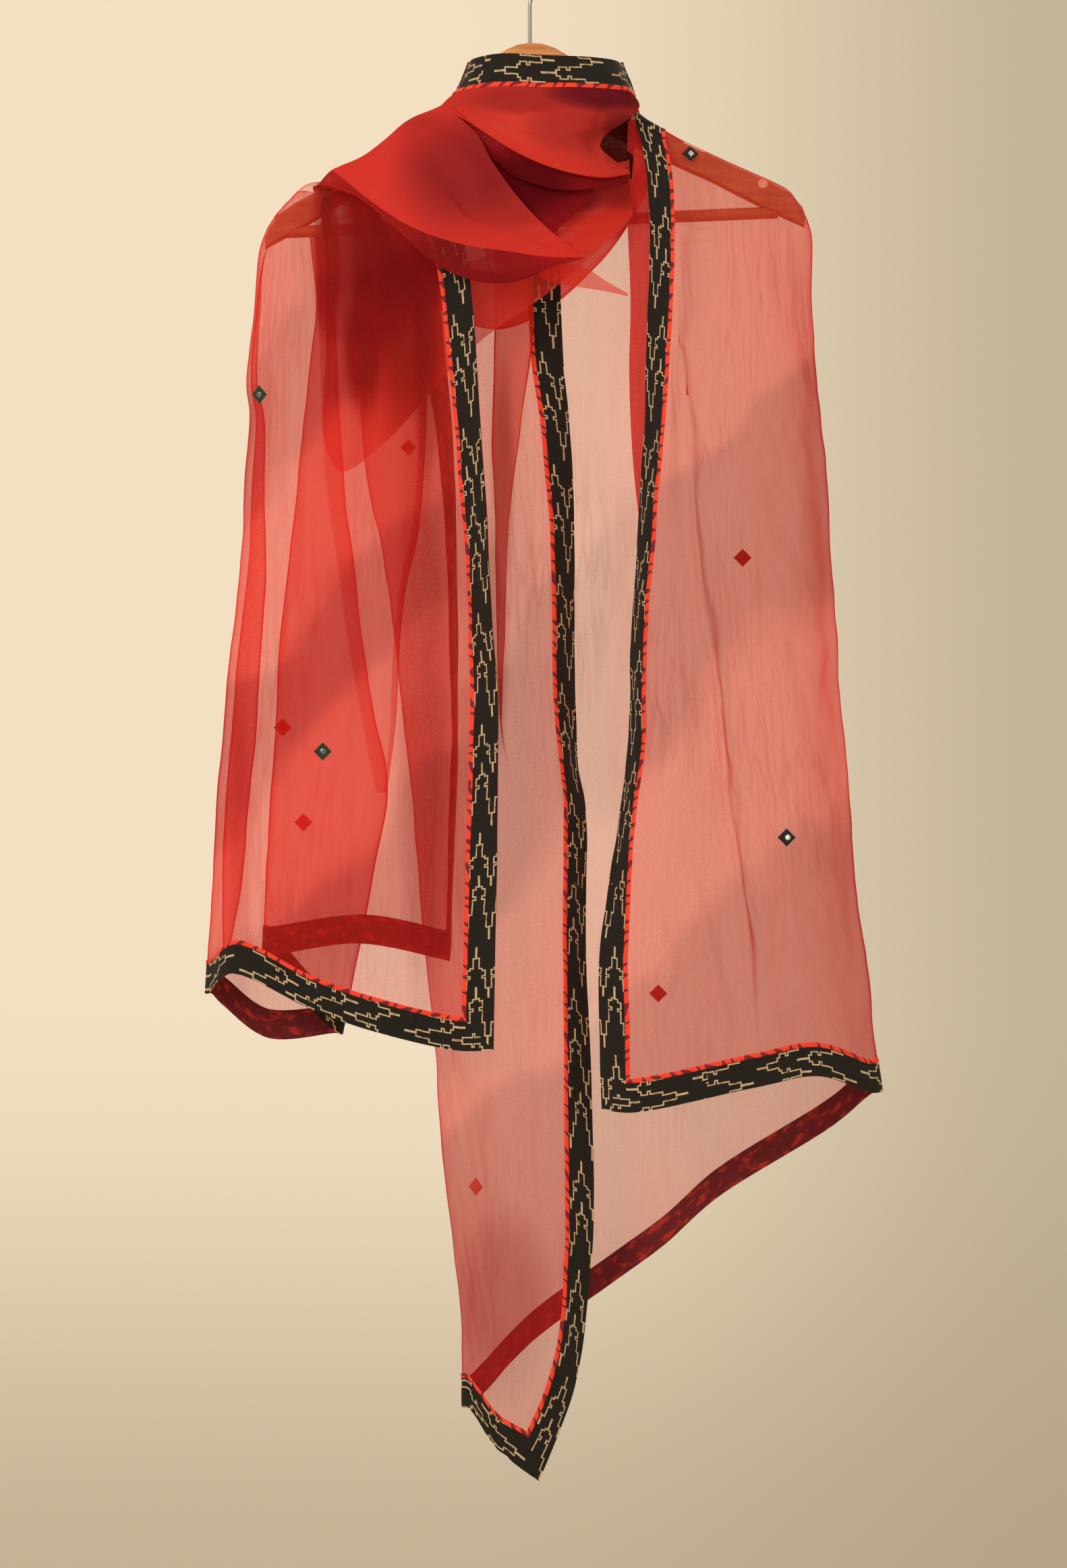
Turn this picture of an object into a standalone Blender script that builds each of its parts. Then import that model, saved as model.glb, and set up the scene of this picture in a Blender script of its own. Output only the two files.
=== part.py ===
"""A sheer dupatta stole wound once round a wooden coat hanger.

Frame: metres, +Z up, the front towards -Y, +X to the right of someone facing the front. The origin is the inside top
of the hook, where a rail holds it. All tables are in millimetres.

The stole is one long cloth. End 1 hangs from the right arm: it comes forward on the right, turns at the right fold,
crosses the back, turns again at the left fold and ends in edge B down the middle of the front. From there the cloth
winds behind the neck, across the front as the cowl, behind the neck again and over the left arm, where end 2 hangs
in four layers. Each stretch is a loft through ribs, lines that run along the cloth. A stretch that carries a border
has grid lines at the border's width, so that border, facing and piping are made from the cloth's own points.
"""

import math

import bmesh
import bpy
import numpy as np

MM = 0.001

# Cloth, border and trim
CLOTH = 1.0
BORDER_WIDTH = 24.0
PIPING_WIDTH = 4.0
TRIM_INNER = CLOTH / 2 + 0.3
TRIM_OUTER = TRIM_INNER + 0.9
PIPING_OUTER = TRIM_INNER + 1.6
SEAM = 0.35
FOLD_GAP = 2.0
RIDGE_GAP = 0.6
ACROSS_STEPS = 12
PATCH_SIZE = 13.0
PATCH_INNER = 1.4
PATCH_OUTER = 2.3

# Hanger
ARM_HALF_SPAN = 220.0
ARM_SHIFT = 4.0
ARM_HALF_THICK = 6.5
ARM_FORWARD = 18.0
ARM_TILT = math.radians(2.3)
ARM_EDGE = 3.0
TIP_ROUND = 14.0
HEAD_TOP = -87.6
BAR_RADIUS = 5.0
BAR_DROP = 147.5
BAR_HALF_LENGTH = 202.0
WIRE_RADIUS = 1.6
HOOK_INNER_RADIUS = 21.0
FIT_GAP = 0.35
OVER_ARM = 2.8

FRONT, ON_TOP, BACK, OVER = -1, 0, 1, 2

# Arm outline on one side: distance from the middle, drop of the top edge, drop of the bottom edge
ARM_TOP = (
    (0, 0), (10, 1.2), (20, 5), (31, 12), (45, 25), (60, 40), (86, 64), (121, 86), (161, 107),
    (194, 123.5), (209, 133), (216, 143), (220, 152),
)
# The same for the top edge as cloth lies on it, drawn a little fuller at the tip
LAID_TOP = ARM_TOP[:-3] + ((209, 129.5), (220, 139), (236, 154))
ARM_BOTTOM = (
    (0, 56), (30, 62), (60, 76), (86, 90), (123, 109), (146, 120.5), (165, 131.5), (187, 144),
    (208, 155), (220, 161),
)

# Ribs: name, distance along the arm where the rib lies on the ridge (None where it doesn't), side, points below
END_1 = (
    ("edge_a", 87, FRONT, (
        (90, -15, -164), (95, -23, -193), (98, -31, -251), (96, -35, -310), (95, -36, -368), (91, -34, -455),
        (87, -30, -518), (83, -27, -581), (81, -28, -659), (70, -30, -734), (62, -32, -791), (57, -34, -837),
        (57, -33, -905), (58, -32, -958))),
    ("piping_a", 118, FRONT, (
        (118, -20, -182), (120, -44, -251), (118, -52, -310), (114, -56, -368), (106, -58, -455), (101, -54, -518),
        (96, -52, -581), (95, -52, -659), (86, -53, -734), (83, -51, -791), (80, -50, -837), (82, -46, -905),
        (84, -44, -960))),
    ("crease", 150, FRONT, (
        (148, -24, -215), (134, -40, -300), (126, -46, -381), (134, -48, -487), (143, -46, -571), (162, -45, -689),
        (175, -44, -791), (182, -43, -940))),
    ("outer", 195, FRONT, (
        (199, -32, -240), (200, -35, -310), (205, -35, -430), (214, -33, -590), (224, -30, -740), (236, -28, -931))),
    ("right_fold", 222, ON_TOP, (
        (229.5, -19, -245), (229.5, -17.5, -300), (234, -14, -368), (241, -12, -430), (248, -9, -529), (255, -6, -631),
        (261, -4, -700), (267, -3, -784), (277, -2, -849), (287, 0, -944))),
    ("back_outer", 196, BACK, (
        (198, -1, -236), (206, 10, -310), (216, 18, -420), (228, 24, -570), (238, 26, -740), (247, 26, -880),
        (250, 26, -972))),
    ("back_mid", 145, BACK, (
        (146, 8, -215), (148, 22, -290), (150, 34, -400), (150, 40, -600), (152, 42, -800), (152, 40, -1034))),
    ("back_near", None, BACK, (
        (104, 36, -178), (104, 38, -270), (106, 42, -400), (107, 46, -600), (108, 46, -800), (110, 44, -1072))),
    ("back_centre", None, BACK, (
        (62, 50, -168), (62, 51, -260), (62, 52, -400), (63, 54, -600), (64, 53, -800), (68, 50, -1103))),
    ("back_left", None, BACK, (
        (-8, 52, -155), (-10, 53, -260), (-12, 53, -400), (-12, 52, -600), (-8, 50, -800), (2, 46, -1151))),
    ("back_far", None, BACK, (
        (-56, 42, -158), (-74, 45, -300), (-80, 44, -450), (-74, 42, -620), (-60, 39, -850), (-46, 35, -1040),
        (-38, 30, -1192))),
    ("left_fold", None, BACK, (
        (-80, 17, -172), (-112, 22, -250), (-132, 24, -325), (-138, 24, -390), (-135, 24, -440), (-122, 24, -500),
        (-112, 24, -558), (-106, 24, -612), (-100, 24, -678),
        (-90, 24, -780), (-82, 24, -878), (-73, 23, -971), (-65, 22, -1064), (-57, 19, -1130), (-55, 16, -1203))),
    ("strip", None, FRONT, (
        (-46, 14, -172), (-48, 8, -250), (-44, 2, -350), (-40, -3, -500), (-36, -5, -700), (-30, -6, -900),
        (-26, -5, -1060), (-30, 2, -1232))),
    ("piping_b", None, FRONT, (
        (-6, 14, -172), (-2, 8, -250), (1, -4, -348), (6, -6, -395), (14, -6, -472), (17, -6, -549), (19, -6, -626),
        (23, -6, -680), (26, -6, -710), (25, -6, -828), (25, -6, -927), (26, -6, -1064), (25, -5, -1130),
        (12, -4, -1190), (-14, -2, -1247))),
    ("edge_b", None, FRONT, (
        (18, 18, -172), (24, 13, -250), (27, 5, -348), (31, 8, -395), (36, 11, -472), (36, 14, -549), (36, 16, -626),
        (39, 16, -680), (45, 14, -712), (46, 12, -828), (50, 9, -927), (52, 5, -1030), (50, 8, -1090),
        (37, 9, -1185), (7, 6, -1263))),
)
END_2 = (
    ("edge_a2", -84, FRONT, (
        (-80, -20, -172), (-68, -42, -215), (-54, -51, -252), (-49, -55, -281), (-45, -57, -325), (-42, -58, -372),
        (-36, -57, -461), (-30, -54, -567), (-26, -53, -619), (-26, -50, -688), (-27, -48, -773), (-30, -48, -909))),
    ("piping_a2", -110, FRONT, (
        (-106, -19, -188), (-92, -38, -230), (-80, -50, -270), (-73, -50, -325), (-67, -46, -372), (-59, -41, -461),
        (-51, -38, -567), (-49, -38, -619), (-51, -39, -688), (-53, -39, -773), (-57, -38, -910))),
    ("front_near", -138, FRONT, (
        (-136, -20, -210), (-130, -36, -246), (-121, -44, -310), (-118, -44, -450), (-118, -42, -600),
        (-122, -42, -750), (-131, -42, -893))),
    ("front_mid", -175, FRONT, (
        (-175, -25, -228), (-173, -36, -266), (-172, -41, -320), (-172, -42, -450), (-176, -42, -600), (-180, -42, -750),
        (-178, -42, -876))),
    ("front_far", -203, FRONT, (
        (-206, -27, -248), (-206, -32, -330), (-212, -35, -500), (-222, -38, -650), (-234, -40, -780),
        (-243, -38, -847))),
    ("left_edge", -214, ON_TOP, (
        (-220, -18, -256), (-226, -17, -310), (-232, -16, -368), (-229, -15, -391), (-233, -14, -444),
        (-237, -13, -523), (-246, -12, -600), (-251, -11, -657), (-256, -10, -709), (-260, -10, -790),
        (-264, -12, -864))),
    ("side", -190, BACK, (
        (-197, 2, -242), (-205, 9, -320), (-210, 13, -450), (-214, 14, -600), (-216, 14, -750), (-214, 14, -901))),
    ("side_fold", None, BACK, (
        (-164, 7, -208), (-162, 9, -250), (-158, 10, -330), (-153, 10, -444), (-145, 10, -505), (-138, 10, -567),
        (-128, 10, -631), (-116, 10, -694), (-128, 10, -768), (-139, 10, -825), (-154, 10, -898))),
    ("inner", None, BACK, (
        (-173, 2, -238), (-171, 4, -310), (-170, 4, -444), (-170, 4, -600), (-172, 4, -750), (-189, 4, -866))),
    ("inner_fold", None, BACK, (
        (-180, -1, -244), (-175, -1, -300), (-181, -1, -356), (-191, -2, -455), (-203, -3, -567),
        (-209, -3, -657), (-215, -3, -762), (-218, -3, -832))),
    ("pleat", None, BACK, (
        (-132, -1, -214), (-130, -3, -274), (-128, -8, -350), (-125, -11, -450), (-124, -13, -600),
        (-128, -14, -750), (-140, -14, -823))),
    ("facing_b2", None, BACK, (
        (-106, 0, -197), (-103, -6, -268), (-96, -16, -325), (-84, -24, -374), (-75, -27, -444), (-68, -27, -514),
        (-66, -27, -567), (-65, -26, -659), (-67, -26, -750), (-71, -23, -836))),
    ("edge_b2", None, BACK, (
        (-80, 4, -180), (-77, -1, -268), (-71, -5, -325), (-66, -6, -374), (-62, -5, -444), (-60, -4, -514),
        (-59, -4, -567), (-59, -2, -659), (-62, -2, -750), (-66, 1, -838))),
)
COWL = (
    ("edge_a", None, FRONT, (
        (-50, -0.5, -103), (-45, -24, -99.5), (-24, -38, -96.5), (10, -42, -97.5), (42, -38, -99), (67, -24, -100.5),
        (76, -1, -103))),
    ("piping", None, FRONT, (
        (-59, -0.5, -124.3), (-56.5, -16, -124), (-46, -34, -125), (-22, -46, -126), (12, -50, -127), (50, -46, -128),
        (78, -28, -130), (86, -1, -131))),
    ("upper", None, FRONT, (
        (-67, -0.5, -133), (-64, -13, -133), (-54, -35, -140), (-28, -49, -151), (12, -54, -156), (50, -50, -156),
        (78, -30, -146), (89, -3, -140))),
    ("middle", None, FRONT, (
        (-72, -0.5, -138), (-69.5, -12, -138), (-56, -35, -147), (-32, -50, -163), (8, -58, -176), (38, -55, -178),
        (58, -42, -173))),
    ("lower_fold", None, FRONT, (
        (-75, -0.5, -140.5), (-72, -12, -141), (-54, -37, -152), (-8, -58, -182), (24, -62, -195), (59, -52, -201),
        (82, -34, -197))),
)
COWL_FOLD = (
    ("upper", None, FRONT, ((-44, -42, -162), (-8, -50, -180), (24, -51, -190), (56, -45, -190), (77, -28, -186))),
    ("second_fold", None, FRONT, ((-34, -49, -185), (-8, -55, -202), (24, -56, -211), (56, -49, -209), (80, -31, -203))),
)
NECK_INNER = (
    ("edge_a", 87, ON_TOP, ((82, 16, -138), (56, 34, -122), (10, 40, -108), (-32, 30, -102), (-50, 1, -103))),
    ("piping", 117, ON_TOP, ((110, 21, -165), (70, 39, -149), (12, 44, -136), (-38, 36, -130), (-59, 1, -124.3))),
    ("lower", 126, ON_TOP, ((118, 21, -175), (74, 38, -160), (12, 43, -147), (-40, 37, -139), (-66, 1, -132.5))),
)
NECK_OUTER = (
    ("edge_a", -84, OVER, (
        (-70, 22, -136), (-40, 48, -115), (14, 58, -103), (68, 38, -103), (76, 1, -103))),
    ("piping", -110, OVER, (
        (-96, 20, -160), (-48, 56, -142), (14, 66, -131), (80, 46, -132), (86, 1, -131))),
    ("upper", -124, OVER, (
        (-116, 24, -186), (-58, 60, -194), (22, 67, -186), (92, 46, -156), (89, 4, -137))),
    ("lower", -138, OVER, (
        (-127, 26, -222), (-40, 66, -262), (42, 68, -232), (104, 46, -166), (100, 28, -143), (90, 7, -138))),
    ("bottom_fold", -150, OVER, (
        (-136, 30, -252), (-28, 68, -318), (56, 68, -266), (110, 46, -178), (104, 28, -145), (91, 9, -138.5))),
)
SWAG = (
    ("inner_edge", None, FRONT, (
        (-79, 2, -139.5), (-78, -16, -141.5), (-68, -31, -147), (-48, -49, -160), (-33, -60, -184), (-8, -65, -217),
        (14, -62, -242), (38, -57, -261))),
    ("upper", None, FRONT, (
        (-102, 1, -156), (-101, -18, -158.5), (-88, -42, -173), (-66, -60, -200), (-40, -69, -228), (-10, -72, -246),
        (16, -67, -256), (41, -59, -264))),
    ("crease", None, FRONT, (
        (-132, -1, -176.5), (-131, -21, -179.5), (-118, -45, -200), (-92, -65, -228), (-60, -74, -252),
        (-25, -76, -264), (10, -71, -271), (44, -60, -267))),
    ("lower_edge", None, FRONT, (
        (-178, -8, -200), (-177, -27, -205), (-162, -43, -212), (-136, -56, -223), (-107, -65, -243),
        (-79, -71, -271), (-51, -74, -285), (-28, -74, -288), (10, -69, -281), (47, -60, -270))),
)
INNER_SWAG = (
    ("upper", None, FRONT, ((-38, -40, -180), (0, -41, -190), (30, -39, -196), (60, -33, -194), (81, -19, -184))),
    ("middle", None, FRONT, ((-40, -50, -226), (0, -51, -236), (30, -47, -236), (60, -39, -226), (82, -26, -208))),
    ("lower_edge", None, FRONT, (
        (-36, -60, -268), (-10, -61, -277), (12, -59, -278), (40, -52, -264), (66, -42, -250), (84, -30, -230))),
)
UNDER_SWAG = (
    ("upper", None, FRONT, (
        (-128, -14, -193), (-128, -15, -208), (-118, -26, -238), (-96, -33, -268), (-50, -35, -268),
        (0, -36, -250), (50, -33, -232), (83, -24, -206))),
    ("middle", None, FRONT, (
        (-152, -16.4, -206), (-151, -17.5, -223), (-148, -26, -262), (-136, -33, -330), (-104, -35, -352),
        (-50, -36, -306), (4, -36, -271), (50, -33, -248), (83, -24, -219))),
    ("lower_edge", None, FRONT, (
        (-170, -18.6, -216), (-170, -20, -232), (-166, -27, -265), (-166, -34, -340), (-167, -36, -415),
        (-154, -36, -439), (-120, -36, -417), (-45, -37, -337), (21, -37, -289), (60, -32, -254), (82, -25, -234))),
)
NECK_FOLD = (
    ("left_edge", None, FRONT, (
        (80, -13.5, -152), (79, -16, -190), (79, -22.5, -226), (80, -23, -246), (82, -23, -300), (81, -24, -360),
        (84, -24, -430), (90, -22, -486))),
    ("right_edge", None, FRONT, (
        (86.5, -12.8, -154), (88, -16, -190), (92, -22.5, -226), (98, -24, -246), (104, -24, -300), (103, -25, -360),
        (98, -24, -430), (94, -22, -486))),
)

# Each fold's radius, and which way the cloth before it lies; then the rows that follow cloth over the arm: distances from its top edge
FOLDS = {
    "right_fold": (9.0, FRONT), "left_fold": (6.0, BACK), "left_edge": (7.0, FRONT), "side_fold": (4.6, BACK),
    "inner_fold": (4.6, BACK),
}
ARM_ROWS = (0, 7.5, 15, 44)

# Diamond patches: name, stretch, side of the cloth that carries the patch, x, z
PATCHES = (
    ("shoulder", "end1_right_front", 1, 131, -182),
    ("right_upper", "end1_back", -1, 175, -506),
    ("right_lower", "end1_right_front", 1, 210, -737),
    ("right_hem", "end1_back", -1, 106, -865),
    ("left_edge", "end2_front", 1, -219, -376),
    ("left_front", "end2_front", 1, -170, -668),
    ("left_side", "end2_side", -1, -202, -646),
    ("strip", "end1_left_front", 1, -44, -1021),
)

# Stretch: table, first and last rib, rows and columns between the trimmed edges, direction that the face looks,
# which sides have a border (a first column, b last column, h hem), and the names of those borders
STRETCHES = (
    ("end1_right_front", END_1, 0, 4, 13, 7, FRONT, {"a": "edge_a", "h": "hem_right"}),
    ("end1_back", END_1, 4, 11, 9, 11, BACK, {"h": "hem_back"}),
    ("end1_left_front", END_1, 11, 14, 14, 3, FRONT, {"b": "edge_b", "h": "hem_left"}),
    ("wrap_neck_inner", NECK_INNER, 0, 2, 8, 1, BACK, {"a": "neck_inner"}),
    ("wrap_neck_outer", NECK_OUTER, 0, 4, 10, 5, BACK, {"a": "neck_outer"}),
    ("wrap_cowl", COWL, 0, 4, 12, 4, FRONT, {"a": "collar"}),
    ("wrap_cowl_fold", COWL_FOLD, 0, 1, 6, 1, FRONT, {}),
    ("wrap_swag", SWAG, 0, 3, 12, 5, FRONT, {}),
    ("wrap_inner_swag", INNER_SWAG, 0, 2, 7, 4, FRONT, {}),
    ("wrap_under_swag", UNDER_SWAG, 0, 2, 12, 4, FRONT, {}),
    ("wrap_neck_fold", NECK_FOLD, 0, 1, 9, 1, FRONT, {}),
    ("end2_front", END_2, 0, 5, 10, 7, FRONT, {"a": "edge_a2", "h": "hem2_front"}),
    ("end2_side", END_2, 5, 7, 8, 5, BACK, {"h": "hem2_side"}),
    ("end2_inner", END_2, 7, 9, 8, 3, FRONT, {"h": "hem2_inner"}),
    ("end2_pleat", END_2, 9, 12, 8, 4, BACK, {"b": "edge_b2", "h": "hem2_pleat"}),
)
HIDDEN_FACINGS = ("neck_inner", "hem2_inner")
PIPED = ("edge_a", "collar", "edge_a2", "edge_b", "hem_right", "hem_left", "hem2_front", "neck_outer")

COLOURS = {
    "organza": ((0.62, 0.07, 0.04), 0.55, 0.0),
    "ikat": ((0.012, 0.011, 0.010), 0.85, 0.0),
    "facing": ((0.20, 0.010, 0.016), 0.8, 0.0),
    "piping": ((0.72, 0.045, 0.02), 0.75, 0.0),
    "wood": ((0.55, 0.25, 0.08), 0.45, 0.0),
    "chrome": ((0.75, 0.76, 0.78), 0.15, 1.0),
}


def clear_scene():
    for thing in list(bpy.data.objects):
        bpy.data.objects.remove(thing, do_unlink=True)


def material(name):
    found = bpy.data.materials.get(name)
    if found:
        return found
    colour, roughness, metallic = COLOURS[name]
    made = bpy.data.materials.new(name)
    made.use_nodes = True
    shader = made.node_tree.nodes["Principled BSDF"]
    shader.inputs["Base Color"].default_value = (*colour, 1.0)
    shader.inputs["Roughness"].default_value = roughness
    shader.inputs["Metallic"].default_value = metallic
    return made


def add_mesh(name, points, faces, finish):
    """A closed mesh from points in millimetres."""
    mesh = bpy.data.meshes.new(name)
    mesh.from_pydata([tuple(point) for point in np.asarray(points) * MM], [], faces)
    builder = bmesh.new()
    builder.from_mesh(mesh)
    bmesh.ops.triangulate(builder, faces=builder.faces)
    bmesh.ops.recalc_face_normals(builder, faces=builder.faces)
    builder.to_mesh(mesh)
    builder.free()
    mesh.materials.append(material(finish))
    made = bpy.data.objects.new(name, mesh)
    bpy.context.collection.objects.link(made)
    mesh.shade_smooth()
    mesh.set_sharp_from_angle(angle=math.radians(40))
    return made


# Hanger ------------------------------------------------------------------------------------------------------------


def drop_at(outline, distance):
    return float(np.interp(abs(distance), [row[0] for row in outline], [row[1] for row in outline]))


def stretched(distance):
    """Where a place on the arms comes once the hanger has swung a little to the right."""
    return distance + ARM_SHIFT * abs(distance) / ARM_HALF_SPAN


def unstretched(x):
    return x / (1 + math.copysign(ARM_SHIFT / ARM_HALF_SPAN, x))


def arm_middle(x):
    """How far the contoured arm has come forward."""
    return -ARM_FORWARD * (x / ARM_HALF_SPAN) ** 2


def ridge(x, side):
    """Cloth resting on the arm's top edge, then turned down its front or its back."""
    top = HEAD_TOP - drop_at(LAID_TOP, unstretched(x)) + x * math.tan(ARM_TILT) + OVER_ARM
    middle = arm_middle(x)
    if side == ON_TOP:
        return [(x, middle, top)]
    if side == OVER:
        return [(x, middle + RIDGE_GAP, top), (x, middle + ARM_HALF_THICK + 2, top - 0.5)]
    return [
        (x, middle + side * RIDGE_GAP, top),
        (x, middle + side * (ARM_HALF_THICK + 0.5), top - 1.0),
        (x, middle + side * (ARM_HALF_THICK + 3.4), top - 8.0),
    ]


def build_arms():
    stations = sorted({sign * row[0] for row in ARM_TOP + ARM_BOTTOM for sign in (-1, 1)})
    points = []
    for distance in stations:
        x = stretched(distance)
        lift = HEAD_TOP + x * math.tan(ARM_TILT)
        top, bottom = lift - drop_at(ARM_TOP, distance), lift - drop_at(ARM_BOTTOM, distance)
        middle = arm_middle(x)
        thick = ARM_HALF_THICK * math.sqrt(
            1 - max(0.0, (abs(distance) - ARM_HALF_SPAN + TIP_ROUND) / (TIP_ROUND + 1)) ** 2
        )
        edge = min(ARM_EDGE, (top - bottom) / 3, thick * 0.6)
        thin = thick - edge
        for y, z in (
            (-thin, top), (thin, top), (thick, top - edge), (thick, bottom + edge),
            (thin, bottom), (-thin, bottom), (-thick, bottom + edge), (-thick, top - edge),
        ):
            points.append((x, middle + y, z))
    sides = 8
    faces = [tuple(range(sides)), tuple(range(len(points) - sides, len(points)))]
    for row in range(len(stations) - 1):
        for side in range(sides):
            here, there = row * sides + side, row * sides + (side + 1) % sides
            faces.append((here, there, there + sides, here + sides))
    arms = add_mesh("hanger_arms", points, faces, "wood")
    hook_hole = rod("hook_hole", (0, 0, HEAD_TOP - 13), (0, 0, HEAD_TOP + 5), WIRE_RADIUS + FIT_GAP, 8, "wood")
    bar_hole = bar("bar_hole", BAR_HALF_LENGTH + FIT_GAP, BAR_RADIUS + FIT_GAP)
    for cutter in (hook_hole, bar_hole):
        cutter.hide_render = True
        cutter.display_type = "WIRE"
        cut = arms.modifiers.new(cutter.name, "BOOLEAN")
        cut.operation = "DIFFERENCE"
        cut.object = cutter
    return arms


def rod(name, start, end, radius, sides, finish):
    """A round rod between two points, along X or Z."""
    start, end = np.array(start, float), np.array(end, float)
    along = (end - start) / np.linalg.norm(end - start)
    first = np.cross(along, (0, 1, 0))
    second = np.cross(along, first)
    points = []
    for middle in (start, end):
        for step in range(sides):
            angle = 2 * math.pi * (step + 0.5) / sides
            points.append(middle + radius * (math.cos(angle) * first + math.sin(angle) * second))
    faces = [tuple(range(sides)), tuple(range(sides, 2 * sides))]
    faces += [(i, (i + 1) % sides, (i + 1) % sides + sides, i + sides) for i in range(sides)]
    return add_mesh(name, points, faces, finish)


def bar(name, half_length, radius):
    middle = arm_middle(BAR_HALF_LENGTH)
    height = HEAD_TOP - BAR_DROP
    rise = half_length * math.tan(ARM_TILT)
    return rod(name, (-half_length, middle, height - rise), (half_length, middle, height + rise), radius, 12, "wood")


def hook_route():
    """The wire's middle line: a stem, a bend to the right, then round over the top to the open left side."""
    radius = HOOK_INNER_RADIUS + WIRE_RADIUS
    centre = -HOOK_INNER_RADIUS
    start = math.radians(-58)
    bend_end = np.array((radius * math.cos(start), centre + radius * math.sin(start)))
    bend_start = np.array((0.0, -56.0))
    up, onward = np.array((0.0, 20.0)), 18.0 * np.array((-math.sin(start), math.cos(start)))
    route = [(0.0, HEAD_TOP - 12.0), (0.0, -72.0)]
    for t in np.linspace(0, 1, 8)[:-1]:
        a, b = 2 * t**3 - 3 * t**2 + 1, t**3 - 2 * t**2 + t
        c, d = -2 * t**3 + 3 * t**2, t**3 - t**2
        route.append(tuple(a * bend_start + b * up + c * bend_end + d * onward))
    for angle in np.linspace(start, math.radians(205), 20):
        route.append((radius * math.cos(angle), centre + radius * math.sin(angle)))
    return route


def build_hook():
    curve = bpy.data.curves.new("hanger_hook", "CURVE")
    curve.dimensions = "3D"
    curve.bevel_depth = WIRE_RADIUS * MM
    curve.bevel_resolution = 2
    curve.use_fill_caps = True
    route = hook_route()
    spline = curve.splines.new("POLY")
    spline.points.add(len(route) - 1)
    for point, (x, z) in zip(spline.points, route):
        point.co = (x * MM, 0, z * MM, 1)
    curve.materials.append(material("chrome"))
    made = bpy.data.objects.new("hanger_hook", curve)
    bpy.context.collection.objects.link(made)


# Cloth -------------------------------------------------------------------------------------------------------------


def smooth(points, steps=12):
    """A centripetal Catmull-Rom curve through the points, with this many steps from each point to the next."""
    p = np.asarray(points, float)
    p = np.vstack([2 * p[0] - p[1], p, 2 * p[-1] - p[-2]])
    made = []
    for i in range(1, len(p) - 2):
        t = [0.0]
        for j in range(3):
            t.append(t[-1] + max(np.linalg.norm(p[i + j] - p[i + j - 1]), 1e-6) ** 0.5)
        for s in np.linspace(t[1], t[2], steps, endpoint=False):
            a = [((t[k + 1] - s) * p[i + k - 1] + (s - t[k]) * p[i + k]) / (t[k + 1] - t[k]) for k in range(3)]
            b = [((t[k + 2] - s) * a[k] + (s - t[k]) * a[k + 1]) / (t[k + 2] - t[k]) for k in range(2)]
            made.append(((t[2] - s) * b[0] + (s - t[1]) * b[1]) / (t[2] - t[1]))
    made.append(p[-2])
    return np.array(made)


def along(line, distances):
    """Points at these distances along a line."""
    lengths = np.concatenate([[0], np.cumsum(np.linalg.norm(np.diff(line, axis=0), axis=1))])
    return np.stack([np.interp(distances, lengths, line[:, axis]) for axis in range(3)], axis=1)


def length_of(line):
    return float(np.linalg.norm(np.diff(line, axis=0), axis=1).sum())


def spacing(length, steps, start, end):
    """Distances along a rib or a row: fixed ones near the start and the end, and even steps between them."""
    middle = np.linspace(start[-1], length - end[-1], steps + 1)[1:-1]
    return np.concatenate([start, middle, [length - value for value in reversed(end)]])


def trim_lines(present):
    return [0, BORDER_WIDTH, BORDER_WIDTH + PIPING_WIDTH] if present else [0]


def rib_line(rib):
    _, at_arm, side, points = rib
    top = ridge(at_arm, side) if at_arm is not None else []
    return smooth(top + list(points))


def across(points, names):
    """A curve across the ribs, with a round turn at each fold, and the place of each rib on it."""
    made, places = [], []
    for order, (name, point) in enumerate(zip(names, points)):
        radius, lies = FOLDS.get(name, (0, 0))
        if radius and 0 < order < len(points) - 1:
            before, after = points[order - 1] - point, points[order + 1] - point
            inward = before / np.linalg.norm(before) + after / np.linalg.norm(after)
            inward /= np.linalg.norm(inward)
            aside = np.cross(inward, (0, 0, 1.0))
            aside *= lies * math.copysign(1 / np.linalg.norm(aside), aside[1])
            turn = (point + radius * (inward + aside), point, point + radius * (inward - aside))
        else:
            turn = (point,)
        made += turn
        places.append(len(made) - 1 - len(turn) // 2)
    return smooth(made, ACROSS_STEPS), [place * ACROSS_STEPS for place in places]


def cloth_grid(table, first, last, rows, columns, borders):
    """The stretch from one rib to another, as a grid of points: rows run across the ribs."""
    names = [rib[0] for rib in table]
    on_arm = table in (END_1, END_2)
    head = ARM_ROWS if on_arm else (0, 8.5) if table is NECK_OUTER else (0,)
    hem = trim_lines("h" in borders)
    down = [along(line, spacing(length_of(line), rows, head, hem)) for line in map(rib_line, table)]
    arm_weight = [float(rib[1] is not None) for rib in table]
    grid = []
    for row in range(len(down[0])):
        whole, places = across([line[row] for line in down], names)
        part = whole[places[first] : places[last] + 1]
        start = 0 if first == 0 else FOLD_GAP
        end = length_of(part) - (0 if last == len(table) - 1 else FOLD_GAP)
        part = along(part, np.linspace(start, end, 200))
        points = along(part, spacing(length_of(part), columns, trim_lines("a" in borders), trim_lines("b" in borders)))
        if on_arm and row < 3:
            weight = np.interp(points[:, 0], *rib_weights(down, row, arm_weight, first, last))
            side = BACK if first else FRONT
            for index, (x, _, _) in enumerate(points):
                lying = np.array(ridge(x, side)[row])
                points[index] += (lying - points[index]) * (weight[index] > 0.999)
        grid.append(points)
    return np.array(grid)


def rib_weights(down, row, arm_weight, first, last):
    """Where each rib of a stretch crosses this row, and whether it lies on the arm there, in rising order of x."""
    found = sorted((down[rib][row][0], arm_weight[rib]) for rib in range(first, last + 1))
    return [x for x, _ in found], [weight for _, weight in found]


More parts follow.
